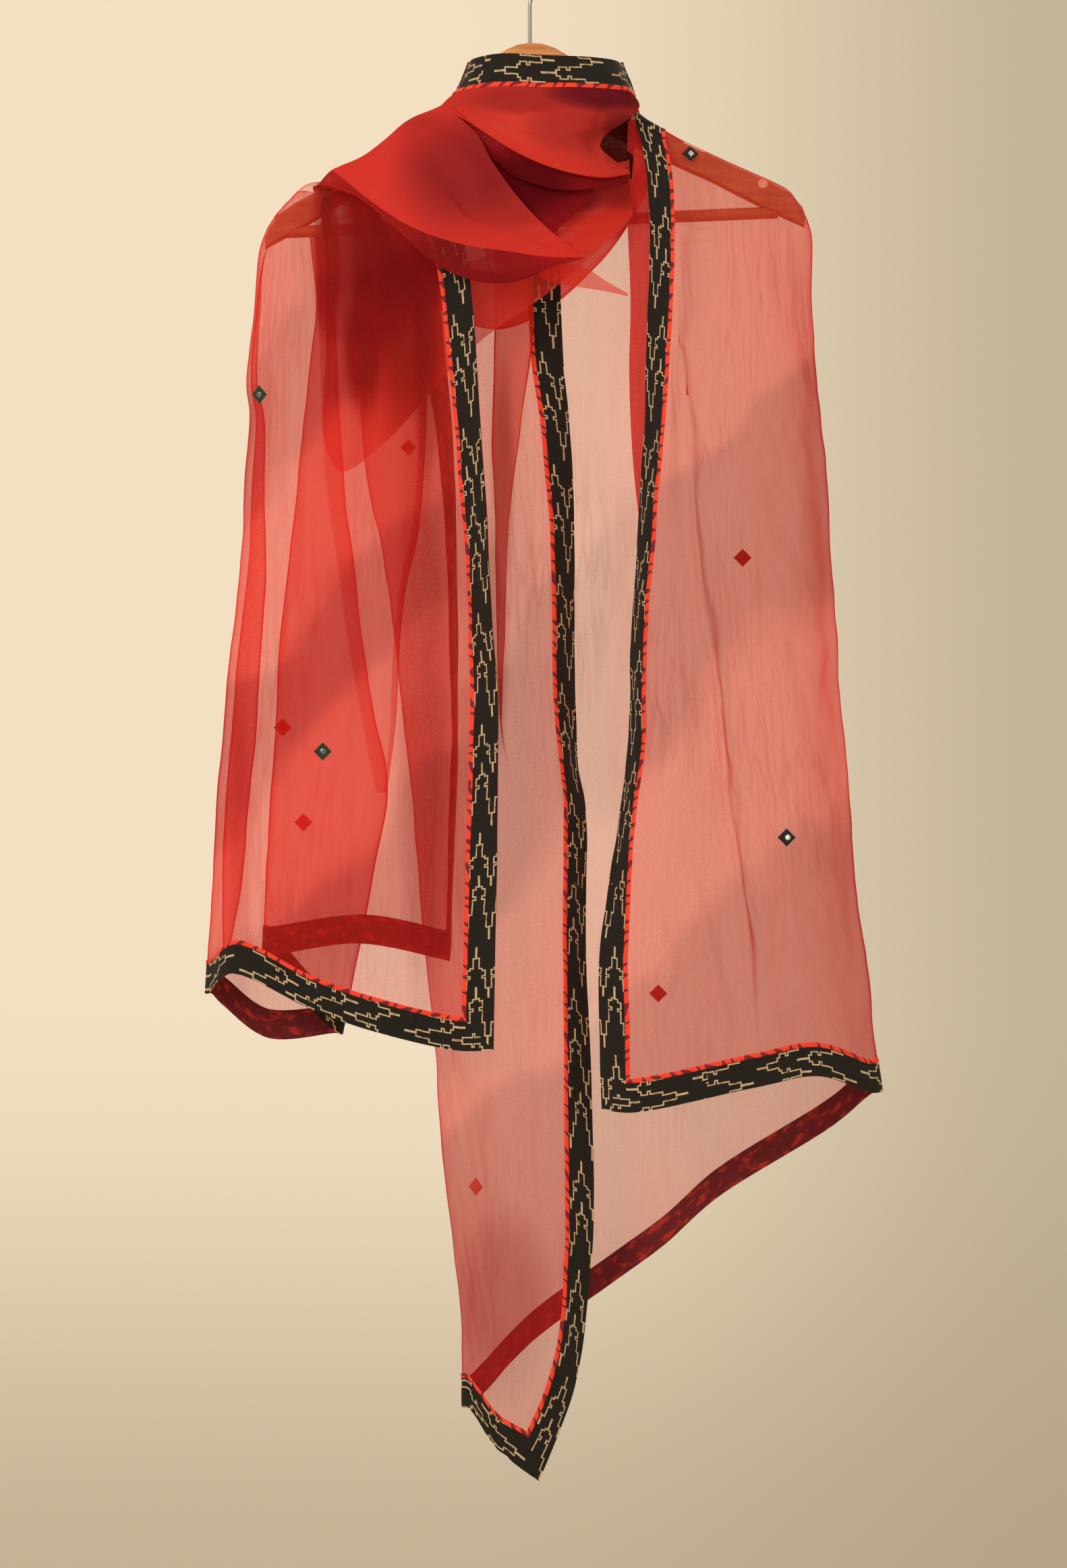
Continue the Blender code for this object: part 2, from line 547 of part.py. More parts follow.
def normals_of(grid, side):
    """Unit normals of a grid, turned to the side that the face looks to."""
    across, down = np.gradient(grid, axis=1), np.gradient(grid, axis=0)
    normals = np.cross(across, down)
    normals /= np.linalg.norm(normals, axis=2, keepdims=True)
    middle = normals[grid.shape[0] // 2, grid.shape[1] // 2]
    return normals if middle[1] * side > 0 else -normals


def plate(name, points, normals, faces, low, high, finish):
    """A closed solid over some faces of a grid, from one height above it to another."""
    used = sorted({index for face in faces for index in face})
    place = {index: order for order, index in enumerate(used)}
    under = [points[index] + low * normals[index] for index in used]
    over = [points[index] + high * normals[index] for index in used]
    count = len(used)
    made = [tuple(place[index] for index in reversed(face)) for face in faces]
    made += [tuple(place[index] + count for index in face) for face in faces]
    edges = {}
    for face in faces:
        for start, end in zip(face, face[1:] + face[:1]):
            if (end, start) in edges:
                del edges[end, start]
            else:
                edges[start, end] = True
    made += [(place[a], place[b], place[b] + count, place[a] + count) for a, b in edges]
    return add_mesh(name, under + over, made, finish)


def quads(rows, columns, width, whole=None):
    """Grid cells as triangles, split so that the split at a lower corner runs out to that corner."""
    made = []
    for r in rows:
        for c in columns:
            here, right, below, across = r * width + c, r * width + c + 1, (r + 1) * width + c, (r + 1) * width + c + 1
            if c < (whole or width - 1) / 2:
                made += [(here, right, below), (right, across, below)]
            else:
                made += [(here, right, across), (here, across, below)]
    return made


def moved(points, index, towards, distance):
    step = points[towards] - points[index]
    return points[index] + step * distance / np.linalg.norm(step)


def border_faces(key, shape, borders):
    """Faces of a border, with a mitre where an edge meets the hem, and the points that the mitre's seam moves."""
    height, width = shape
    last = height - 1
    hem = "h" in borders
    moves = {}
    if key in "ab":
        outer, inner = (0, 1) if key == "a" else (width - 1, width - 2)
        columns = [min(outer, inner)]
        faces = quads(range(last - 1 if hem else last), columns, width)
        if hem:
            corner, turn = last * width + outer, (last - 1) * width + inner
            above = (last - 1) * width + outer
            faces.append((turn, above, corner) if key == "b" else (above, turn, corner))
            moves = {corner: (above, SEAM), turn: (turn - width, SEAM)}
        return faces, moves
    start, end = (1 if "a" in borders else 0), (width - 2 if "b" in borders else width - 1)
    faces = quads([last - 1], range(start, end), width)
    for edge, outer, inner, onward in (("a", 0, 1, 2), ("b", width - 1, width - 2, width - 3)):
        if edge in borders:
            corner, turn, beside = last * width + outer, (last - 1) * width + inner, last * width + inner
            faces.append((turn, corner, beside) if edge == "b" else (turn, beside, corner))
            moves[corner] = (beside, SEAM)
            moves[turn] = ((last - 1) * width + onward, SEAM)
    return faces, moves


def piping_grid(key, grid, borders):
    """The narrow strip beside a border, drawn in at both sides, as a grid of its own."""
    gap = SEAM / PIPING_WIDTH
    if key in "ab":
        first, second = (1, 2) if key == "a" else (-2, -3)
        rows = grid[: -1 if "h" in borders else None]
        low, high = rows[:, first], rows[:, second]
    else:
        start = 2 if "a" in borders else 0
        end = -2 if "b" in borders else None
        low, high = grid[-2, start:end], grid[-3, start:end]
    strip = np.stack([low + (high - low) * gap, low + (high - low) * (1 - gap)], axis=1)
    if key == "h":
        for edge, index, onward in (("a", 0, 1), ("b", -1, -2)):
            if edge in borders:
                step = strip[onward] - strip[index]
                strip[index] = strip[index] + step * SEAM / np.linalg.norm(step, axis=1, keepdims=True)
    return strip


def strip_normals(strip, grid, normals):
    """The cloth's normals at the points of a strip that lies on it."""
    flat, ways = grid.reshape(-1, 3), normals.reshape(-1, 3)
    found = [ways[np.argmin(np.linalg.norm(flat - point, axis=1))] for point in strip.reshape(-1, 3)]
    return np.array(found)


def build_trim(key, name, grid, normals, borders):
    height, width = grid.shape[:2]
    points, ways = grid.reshape(-1, 3).copy(), normals.reshape(-1, 3)
    faces, moves = border_faces(key, (height, width), borders)
    shifted = {index: moved(points, index, towards, distance) for index, (towards, distance) in moves.items()}
    for index, place in shifted.items():
        points[index] = place
    plate(f"border_{name}", points, ways, faces, TRIM_INNER, TRIM_OUTER, "ikat")
    if name not in HIDDEN_FACINGS:
        plate(f"facing_{name}", points, ways, faces, -TRIM_OUTER, -TRIM_INNER, "facing")
    if name in PIPED:
        strip = piping_grid(key, grid, borders)
        strip_ways = strip_normals(strip, grid, normals)
        strip_faces = quads(range(strip.shape[0] - 1), [0], 2)
        plate(f"piping_{name}", strip.reshape(-1, 3), strip_ways, strip_faces, TRIM_INNER, PIPING_OUTER, "piping")


def build_stretch(name, table, first, last, rows, columns, side, borders):
    grid = cloth_grid(table, first, last, rows, columns, borders)
    normals = normals_of(grid, side)
    height, width = grid.shape[:2]
    faces = quads(range(height - 1), range(width - 1), width)
    plate(name, grid.reshape(-1, 3), normals.reshape(-1, 3), faces, -CLOTH / 2, CLOTH / 2, "organza")
    for key, border in borders.items():
        build_trim(key, border, grid, normals, borders)
    return grid, normals


def surface_point(grid, normals, x, z):
    """The point of a stretch, and its normal, seen from the front at x and z."""
    points, ways = grid.reshape(-1, 3), normals.reshape(-1, 3)
    height, width = grid.shape[:2]
    for face in quads(range(height - 1), range(width - 1), width):
        a, b, c = (points[index][[0, 2]] for index in face)
        sides = np.stack([b - a, c - a], axis=1)
        if abs(np.linalg.det(sides)) < 1e-6:
            continue
        u, v = np.linalg.solve(sides, np.array((x, z)) - a)
        if u >= 0 and v >= 0 and u + v <= 1:
            weights = np.array((1 - u - v, u, v))
            normal = weights @ ways[list(face)]
            return weights @ points[list(face)], normal / np.linalg.norm(normal)
    raise ValueError(f"no cloth at {x}, {z}")


def build_patch(name, grid, normals, side, x, z):
    """A small diamond sewn on the cloth at a given place of its front view."""
    half = PATCH_SIZE / 2
    places = ((x + half, z), (x, z + half), (x - half, z), (x, z - half))
    found = [surface_point(grid, normals * side, *place) for place in places]
    normal = surface_point(grid, normals * side, x, z)[1]
    points = np.array([point for point, _ in found])
    plate(f"patch_{name}", points, np.repeat(normal[None], 4, axis=0), [(0, 1, 2, 3)], PATCH_INNER, PATCH_OUTER, "ikat")


def main():
    clear_scene()
    build_arms()
    bar("hanger_bar", BAR_HALF_LENGTH, BAR_RADIUS)
    build_hook()
    surfaces = {}
    for name, table, first, last, rows, columns, side, borders in STRETCHES:
        surfaces[name] = build_stretch(name, table, first, last, rows, columns, side, borders)
    for name, stretch, side, x, z in PATCHES:
        build_patch(name, *surfaces[stretch], side, x, z)


main()
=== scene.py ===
"""Looks of the sheer dupatta stole on its wooden hanger.

Lengths in the tables are millimetres; the scene is in metres. The cloth's ribs follow the CAD's, with more of
them where a fold shows, and are lofted without gaps into single sheets with rounded folds and creases.
Borders, facings and piping are thin shells that follow the sheets' edges. A few folds that show are drawn only here.
"""

import math

import bpy
import numpy as np
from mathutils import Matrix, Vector


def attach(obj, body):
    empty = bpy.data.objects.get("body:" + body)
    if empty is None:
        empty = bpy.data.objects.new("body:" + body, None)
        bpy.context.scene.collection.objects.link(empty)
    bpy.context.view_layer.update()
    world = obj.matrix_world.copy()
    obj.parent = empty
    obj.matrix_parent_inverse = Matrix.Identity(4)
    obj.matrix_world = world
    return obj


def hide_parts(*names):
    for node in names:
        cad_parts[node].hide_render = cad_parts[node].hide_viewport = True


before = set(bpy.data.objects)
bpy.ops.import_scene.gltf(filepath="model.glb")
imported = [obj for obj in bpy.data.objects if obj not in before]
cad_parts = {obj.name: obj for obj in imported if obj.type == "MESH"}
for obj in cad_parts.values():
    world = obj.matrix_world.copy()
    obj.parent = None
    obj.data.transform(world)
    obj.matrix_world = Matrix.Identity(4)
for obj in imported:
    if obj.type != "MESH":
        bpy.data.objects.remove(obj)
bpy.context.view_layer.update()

MM = 0.001
BORDER_WIDTH = 24.0
PIPING_WIDTH = 4.0
FRONT, ON_TOP, BACK, OVER = -1, 0, 1, 2
SHADOW_BAND_WAY = (-0.669, 0.743)  # x and z of the way in which the painted shadow stripes' edges are measured
SHADOW_BAND_EDGE = 0.011  # half the width over which a painted shadow stripe fades
CLOTH_STEP, TRIM_STEP = ((3.2, 2.6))  # size of the mesh's faces

# Hanger

ARM_HALF_SPAN, ARM_SHIFT, ARM_FORWARD, ARM_HALF_THICK = 220.0, 4.0, 18.0, 6.5
ARM_TILT = math.radians(2.3)
PLUG = (0.190, 0, -0.2035)
HEAD_TOP = -87.6
OVER_ARM = 1.6
PUFF, PUFF_X, PUFF_WIDTH = 8.5, -183, 15  # the cloth puffed up over the left arm
# The arm's top edge as cloth lies on it: distance from the middle, drop
LAID_TOP = (
    (0, 0), (10, 1.2), (20, 5), (31, 12), (45, 25), (60, 40), (86, 64), (121, 86), (161, 107), (194, 123.5),
    (204, 129), (211, 135), (217, 143), (221, 151), (236, 166),
)


def arm_top(x):
    distance = x / (1 + math.copysign(ARM_SHIFT / ARM_HALF_SPAN, x))
    drop = np.interp(abs(distance), [row[0] for row in LAID_TOP], [row[1] for row in LAID_TOP])
    return HEAD_TOP - float(drop) + x * math.tan(ARM_TILT)


def arm_middle(x):
    return -ARM_FORWARD * (x / ARM_HALF_SPAN) ** 2


def ridge(x, side):
    """Cloth resting on the arm's top edge, then turned down its front or its back."""
    top, middle = arm_top(x) + OVER_ARM, arm_middle(x)
    if x < -120 and side != OVER:
        top += PUFF * math.exp(-(((x - PUFF_X) / PUFF_WIDTH) ** 2))
    if side == ON_TOP:
        return [(x, middle, top)]
    if side == OVER:
        return [(x, middle, top + 0.8), (x, middle + ARM_HALF_THICK + 2, top)]
    return [
        (x, middle, top),
        (x, middle + side * (ARM_HALF_THICK - 1.0), top - 0.2),
        (x, middle + side * (ARM_HALF_THICK + 1.2), top - 3.5),
        (x, middle + side * (ARM_HALF_THICK + 2.4), top - 9.0),
    ]


def laid(side, *ribs):
    """Ribs on one side that don't lie on an arm."""
    return tuple((name, None, side, points) for name, *points in ribs)


# Ribs of the cloth: name, place on the arm (None where it doesn't lie on it), side, points

END_1 = (
    ("edge_a", 87, FRONT, ((90, -15, -164), (95, -23, -193), (98, -31, -251), (96, -35, -310), (95, -36, -368),
     (91, -34, -455), (87, -30, -518), (83, -27, -581), (81, -28, -659), (70, -30, -734), (62, -32, -791),
     (57, -34, -837), (57, -33, -905), (58, -32, -958))),
    ("piping_a", 118, FRONT, ((118, -20, -182), (120, -44, -251), (118, -52, -310), (114, -56, -368),
     (106, -58, -455), (101, -54, -518), (96, -52, -581), (95, -52, -659), (86, -53, -734), (83, -51, -791),
     (80, -50, -837), (82, -46, -905), (84, -44, -960))),
    ("crease", 150, FRONT, ((148, -24, -215), (134, -40, -300), (126, -46, -381), (134, -48, -487), (143, -46, -571),
     (162, -45, -689), (175, -44, -791), (182, -43, -940))),
    ("outer", 195, FRONT, ((199, -32, -240), (200, -35, -310), (205, -35, -430), (214, -33, -590), (224, -30, -740),
     (236, -28, -931))),
    ("right_fold", 222, ON_TOP, ((229.5, -19, -245), (229.5, -17.5, -300), (234, -14, -368), (241, -12, -430),
     (248, -9, -529), (255, -6, -631), (261, -4, -700), (267, -3, -784), (277, -2, -849), (287, 0, -944))),
    ("back_outer", 196, BACK, ((198, -1, -236), (206, 10, -310), (216, 18, -420), (228, 24, -570), (238, 26, -740),
     (247, 26, -880), (250, 26, -972))),
    ("back_mid", 145, BACK, ((146, 8, -215), (148, 22, -290), (150, 34, -400), (150, 40, -600), (152, 42, -800),
     (152, 40, -1034))),
    *laid(BACK,
        ("back_near", (104, 36, -178), (104, 38, -270), (106, 42, -400), (107, 46, -600), (108, 46, -800),
         (110, 44, -1072)),
        ("back_centre", (62, 50, -168), (62, 51, -260), (62, 52, -400), (63, 54, -600), (64, 53, -800),
         (68, 50, -1103)),
        ("back_left", (-8, 52, -155), (-10, 53, -260), (-12, 53, -400), (-12, 52, -600), (-8, 50, -800),
         (2, 46, -1151)),
        ("back_far", (-56, 42, -158), (-74, 45, -300), (-80, 44, -450), (-74, 42, -620), (-60, 39, -850),
         (-46, 35, -1040), (-38, 30, -1192)),
        ("left_fold", (-80, 17, -172), (-112, 22, -250), (-132, 24, -325), (-138, 24, -390), (-135, 24, -440),
         (-122, 24, -500), (-112, 24, -558), (-106, 24, -612), (-100, 24, -678), (-90, 24, -780), (-82, 24, -878),
         (-73, 23, -971), (-65, 22, -1064), (-57, 19, -1130), (-55, 16, -1203)),
    ),
    *laid(FRONT,
        ("strip", (-46, 14, -172), (-48, 8, -250), (-44, 2, -350), (-40, -3, -500), (-36, -5, -700), (-30, -6, -900),
         (-26, -5, -1060), (-30, 2, -1232)),
        ("pleat_out", (-12, 6, -172), (-2, 1, -250), (3, -7, -320), (-1, -10, -356), (-7, -12, -405),
         (-14, -12, -451), (-18, -11, -503), (-21, -9, -567), (-23, -7, -640), (-22, -6, -720), (-20, -6, -800),
         (-15, -6, -960), (-13, -6, -1100), (-25, 1, -1238)),
        ("pleat_in", (-30, 18, -172), (-30, 12, -250), (-29, 4, -356), (-30, 2, -430), (-28, 0, -499),
         (-27, -2, -567), (-24, -5, -640), (-12, -6, -720), (-6, -6, -800), (-2, -6, -960), (-1, -6, -1100),
         (-19, 0, -1242)),
        ("piping_b", (-6, 14, -172), (-2, 8, -250), (1, -4, -348), (6, -6, -395), (14, -6, -472), (17, -6, -549),
         (19, -6, -626), (23, -6, -680), (26, -6, -710), (25, -6, -828), (25, -6, -927), (26, -6, -1064),
         (25, -5, -1130), (12, -4, -1190), (-14, -2, -1247)),
        ("edge_b", (18, 18, -172), (24, 13, -250), (27, 5, -348), (31, 8, -395), (36, 11, -472), (36, 14, -549),
         (36, 16, -626), (39, 16, -680), (45, 14, -712), (46, 12, -828), (50, 9, -927), (52, 5, -1030),
         (50, 8, -1090), (37, 9, -1185), (7, 6, -1263)),
    ),
)
END_2 = (
    ("edge_a2", -84, FRONT, ((-80, -20, -172), (-68, -42, -215), (-54, -51, -252), (-49, -55, -281), (-45, -57, -325),
     (-42, -58, -372), (-36, -57, -461), (-30, -54, -567), (-26, -53, -619), (-26, -50, -688), (-27, -48, -773),
     (-30, -48, -909))),
    ("piping_a2", -110, FRONT, ((-106, -19, -188), (-92, -38, -230), (-80, -50, -270), (-73, -50, -325),
     (-67, -46, -372), (-59, -41, -461), (-51, -38, -567), (-49, -38, -619), (-51, -39, -688), (-53, -39, -773),
     (-57, -38, -910))),
    ("front_near", -138, FRONT, ((-136, -20, -210), (-130, -36, -246), (-121, -44, -310), (-118, -44, -450),
     (-118, -42, -600), (-122, -42, -750), (-131, -42, -893))),
    ("front_mid", -175, FRONT, ((-175, -25, -228), (-173, -36, -266), (-172, -41, -320), (-172, -42, -450),
     (-176, -42, -600), (-180, -42, -750), (-178, -42, -876))),
    ("front_far", -203, FRONT, ((-206, -27, -248), (-206, -32, -330), (-212, -35, -500), (-222, -38, -650),
     (-234, -40, -780), (-243, -38, -847))),
    ("left_edge", -214, ON_TOP, ((-220, -18, -256), (-226, -17, -310), (-232, -16, -368), (-229, -15, -391),
     (-233, -14, -444), (-237, -13, -523), (-246, -12, -600), (-251, -11, -657), (-256, -10, -709), (-260, -10, -790),
     (-264, -12, -864))),
    ("left_tuck", -206, BACK, ((-216, -8, -262), (-220, -9, -310), (-222, -9, -368), (-217, -8, -391),
     (-216, -8, -444), (-216, -7, -523), (-220, -6, -600), (-224, -5, -657), (-229, -4, -709), (-238, -4, -790),
     (-256, -6, -868))),
    ("left_back", -208, BACK, ((-217, -6, -262), (-223, -4, -310), (-227, -3, -368), (-224, -2, -391),
     (-227, -1, -444), (-231, 0, -523), (-240, 1, -600), (-245, 2, -657), (-249, 3, -709), (-252, 3, -790),
     (-250, -1, -874))),
    ("side", -190, BACK, ((-197, 2, -242), (-205, 9, -320), (-210, 13, -450), (-214, 14, -600), (-216, 14, -750),
     (-214, 14, -901))),
    *laid(BACK,
        ("side_fold", (-164, 7, -208), (-162, 9, -250), (-158, 10, -330), (-153, 10, -444), (-145, 10, -505),
         (-138, 10, -567), (-128, 10, -631), (-116, 10, -694), (-128, 10, -768), (-139, 10, -825), (-154, 10, -898)),
        ("inner", (-173, 2, -238), (-171, 4, -310), (-170, 4, -444), (-170, 4, -600), (-172, 4, -750),
         (-189, 4, -866)),
        ("inner_fold", (-180, -1, -244), (-175, -1, -300), (-181, -1, -356), (-191, -2, -455), (-203, -3, -567),
         (-209, -3, -657), (-215, -3, -762), (-218, -3, -832)),
        ("pleat", (-132, -1, -214), (-130, -3, -274), (-128, -8, -350), (-125, -11, -450), (-124, -13, -600),
         (-128, -14, -750), (-140, -14, -823)),
        ("facing_b2", (-106, 0, -197), (-103, -6, -268), (-96, -16, -325), (-84, -24, -374), (-75, -27, -444),
         (-68, -27, -514), (-66, -27, -567), (-65, -26, -659), (-67, -26, -750), (-71, -23, -836)),
        ("edge_b2", (-80, 4, -180), (-77, -1, -268), (-71, -5, -325), (-66, -6, -374), (-62, -5, -444),
         (-60, -4, -514), (-59, -4, -567), (-59, -2, -659), (-62, -2, -750), (-66, 1, -838)),
    ),
)
COWL = laid(FRONT,
    ("edge_a", (-50, -0.5, -106), (-45, -24, -102), (-24, -38, -99), (10, -42, -100.5), (42, -38, -101.5),
     (67, -24, -103), (76, -1, -106)),
    ("piping", (-59, -0.5, -126), (-56.5, -16, -126), (-46, -34, -127.5), (-22, -46, -129), (12, -50, -130.5),
     (50, -46, -131), (78, -28, -130), (86, -1, -131)),
    ("upper", (-67, -0.5, -133), (-64, -13, -133), (-54, -35, -140), (-28, -49, -151), (12, -54, -156),
     (50, -50, -156), (78, -30, -146), (89, -3, -140)),
    ("middle", (-72, -0.5, -138), (-69.5, -12, -138), (-56, -35, -147), (-32, -50, -163), (8, -58, -176),
     (38, -55, -178), (58, -42, -173)),
    ("lower_fold", (-75, -0.5, -140.5), (-72, -12, -141), (-54, -37, -152), (-8, -58, -182), (24, -62, -195),
     (59, -52, -201), (82, -34, -197)),
    ("turned_up", (-70, 1, -137), (-66, -8, -138), (-50, -30, -146), (-8, -51, -172), (24, -54, -184),
     (56, -46, -190), (78, -30, -186)),
)
COWL_FOLD = laid(FRONT,
    ("upper", (-69, -6, -138), (-66, -16, -141), (-50, -35, -154), (-22, -50, -170), (5, -54, -185), (31, -54, -192),
     (60, -46, -195), (80, -31, -191)),
    ("second_fold", (-67, -6, -143), (-62, -17, -150), (-48, -36, -168), (-33, -45, -184), (-8, -54.5, -202),
     (24, -57, -211), (56, -50, -209), (80, -32, -204)),
    ("under", (-66, -4, -141), (-60, -12, -147), (-44, -31, -163), (-28, -41, -178), (-6, -47, -192), (24, -48, -199),
     (56, -41, -197), (80, -25, -192)),
)
# A dense near-black sheet in the cowl's recess: painted shade, put where the inside of the cowl lies in shade
HOLLOW_SHADE_SHEET = laid(FRONT,
    ("top", (38, -40, -146), (58, -33, -143), (76, -18, -140), (87, -4, -140)),
    ("middle", (40, -32, -172), (60, -20, -168), (76, -13, -166), (86, -8, -164)),
    ("bottom", (38, -44, -200), (60, -36, -203), (76, -28, -202), (83, -22, -200)),
)
NECK_INNER = (
    ("edge_a", 87, ON_TOP, ((82, 16, -138), (56, 34, -122), (10, 40, -108), (-32, 30, -102), (-50, 1, -103))),
    ("piping", 117, ON_TOP, ((110, 21, -165), (70, 39, -149), (12, 44, -136), (-38, 36, -130), (-59, 1, -124.3))),
    ("lower", 126, ON_TOP, ((118, 21, -175), (74, 38, -160), (12, 43, -147), (-40, 37, -139), (-66, 1, -132.5))),
)
NECK_OUTER = (
    ("edge_a", -84, OVER, ((-70, 22, -136), (-40, 48, -115), (14, 58, -103), (68, 38, -103), (76, 1, -103))),
    ("piping", -110, OVER, ((-96, 20, -160), (-48, 56, -142), (14, 66, -131), (80, 46, -132), (86, 1, -131))),
    ("upper", -124, OVER, ((-116, 24, -186), (-58, 60, -194), (22, 67, -186), (90, 46, -160), (88, 4, -140))),
    ("lower", -138, OVER, ((-127, 26, -222), (-40, 66, -262), (42, 68, -232), (100, 46, -172), (96, 28, -152),
     (88, 7, -143))),
    ("bottom_fold", -150, OVER, ((-136, 30, -252), (-28, 68, -318), (56, 68, -266), (104, 46, -184), (98, 28, -157),
     (88, 9, -145))),
    ("inside", -140, OVER, ((-124, 24, -226), (-34, 61, -270), (46, 62, -236), (96, 42, -174), (92, 24, -154),
     (84, 4, -144))),
)
SWAG = laid(FRONT,
    ("inner_edge", (-70, 14, -146), (-71, 4, -138), (-69, -14, -140), (-59, -32, -149), (-42, -47, -166),
     (-31, -58, -187), (-9, -65, -218), (14, -62, -242), (38, -57, -261)),
    ("upper", (-100, 14, -166), (-99, 4, -152.5), (-99, -14, -152.5), (-88, -40, -168), (-66, -60, -197),
     (-40, -69, -227), (-10, -72, -246), (16, -67, -256), (41, -59, -264)),
    ("crease", (-134, 12, -192), (-133, 2, -180), (-131, -20, -179), (-121, -44, -191), (-94, -64, -214),
     (-62, -74, -235), (-25, -76, -249), (10, -71, -258), (42, -60, -263)),
    ("near_edge", (-163, 10, -208), (-163, 0, -194), (-160, -22, -194), (-148, -42, -204), (-128, -56, -221),
     (-95, -68, -242), (-59, -74.5, -255), (-16, -75, -262), (14, -71, -266), (43, -60, -266)),
    ("lower_edge", (-173, 6, -216), (-177, -4, -208), (-176, -17, -205.5), (-164, -36, -207), (-138, -54, -218),
     (-108, -65, -243), (-79, -71, -270), (-51, -74, -284), (-28, -74, -288), (-6, -72, -285), (16, -68, -275),
     (44, -60, -267)),
    ("turned_back", (-169, 4, -216), (-171, -6, -210), (-170, -16, -208), (-158, -33, -210), (-132, -49, -219),
     (-103, -58, -238), (-77, -64, -261), (-51, -67, -275), (-28, -68, -279), (-6, -66, -276), (14, -62, -268),
     (42, -56, -263)),
)
INNER_SWAG = laid(FRONT,
    ("upper", (-38, -40, -180), (0, -41, -190), (30, -39, -196), (60, -33, -194), (81, -19, -184)),
    ("middle", (-40, -50, -226), (0, -51, -236), (30, -47, -236), (60, -39, -226), (82, -26, -208)),
    ("lower_edge", (-36, -60, -268), (-10, -61, -277), (12, -59, -278), (40, -52, -264), (66, -42, -250),
     (84, -30, -230)),
)
INNER_FOLD = laid(FRONT,
    ("upper", (-46, -41, -170), (-20, -44, -184), (4, -46, -192), (26, -45, -194), (48, -40, -192)),
    ("middle", (-42, -50, -206), (-16, -53, -216), (10, -53, -220), (32, -49, -216), (52, -43, -208)),
    ("lower_edge", (-32, -58, -250), (-8, -62, -258), (10, -61, -252), (28, -55, -238), (46, -47, -222)),
)
SIDE_PLEAT = laid(BACK,
    ("hidden", (-176, 4, -236), (-172, 5, -330), (-167, 5, -444), (-158, 5, -505), (-150, 5, -567), (-139, 5, -631),
     (-126, 6, -700)),
    ("middle", (-130, 1, -236), (-128, 1, -330), (-126, 1, -444), (-125, 1, -505), (-126, 2, -567), (-124, 3, -631),
     (-121, 4, -700)),
    ("fold", (-84, 2, -236), (-82, 2, -330), (-84, 2, -376), (-86.5, 2, -438), (-91, 2, -487), (-101, 2, -534),
     (-107, 3, -590), (-110, 4, -645), (-117, 5, -700)),
    ("turned", (-88, 4, -236), (-87, 4, -330), (-89, 4, -376), (-92, 4, -438), (-97, 4, -487), (-107, 4, -534),
     (-112, 5, -590), (-114, 6, -645), (-119, 6, -700)),
)
TAIL = laid(FRONT,
    ("upper", (8, -46, -262), (24, -45, -269), (46, -42, -274), (62, -38, -284), (80, -32, -294)),
    ("middle", (8, -45, -272), (24, -44, -277), (44, -41, -281), (62, -37, -288), (80, -31.5, -295)),
    ("lower_edge", (8, -44, -282), (22, -43, -286), (40, -40, -289), (60, -36, -292), (80, -31, -296)),
)
UNDER_SWAG = laid(FRONT,
    ("upper", (-128, -14, -193), (-128, -15, -208), (-118, -26, -238), (-96, -33, -268), (-50, -35, -268),
     (0, -36, -250), (50, -33, -232), (83, -24, -206)),
    ("middle", (-152, -16.4, -206), (-151, -17.5, -223), (-148, -26, -262), (-136, -33, -330), (-104, -35, -352),
     (-50, -36, -306), (4, -36, -271), (50, -33, -248), (83, -24, -219)),
    ("lower_edge", (-170, -18.6, -216), (-170, -20, -232), (-166, -27, -265), (-166, -34, -340), (-167, -36, -415),
     (-154, -36, -439), (-120, -36, -417), (-45, -37, -337), (21, -37, -289), (60, -32, -254), (82, -25, -234)),
)
NECK_FOLD = laid(FRONT,
    ("left_edge", (80, -13.5, -152), (79, -16, -190), (79, -22.5, -226), (80, -23, -246), (82, -23, -300),
     (81, -24, -360), (84, -24, -430), (90, -22, -486)),
    ("right_edge", (90, -9, -150), (95, -11, -170), (98, -14, -192), (98, -20, -226), (100, -23, -246),
     (104, -24, -300), (103, -25, -360), (98, -24, -430), (94, -22, -486)),
)

# Each fold's radius, and which way the cloth before it lies
FOLDS = {
    "right_fold": (7.0, FRONT), "left_fold": (4.5, BACK), "left_edge": (4.5, FRONT), "left_tuck": (2.4, FRONT),
    "left_back": (2.4, FRONT), "side_fold": (3.6, BACK), "inner_fold": (3.4, BACK), "pleat_out": (2.0, FRONT),
    "pleat_in": (2.0, FRONT), "lower_fold": (2.2, FRONT), "turned_up": (2.0, FRONT), "second_fold": (2.2, FRONT),
    "bottom_fold": (2.6, BACK), "fold": (2.0, BACK), "lower_edge": (2.6, FRONT),
}
FOLD_STEPS = 8

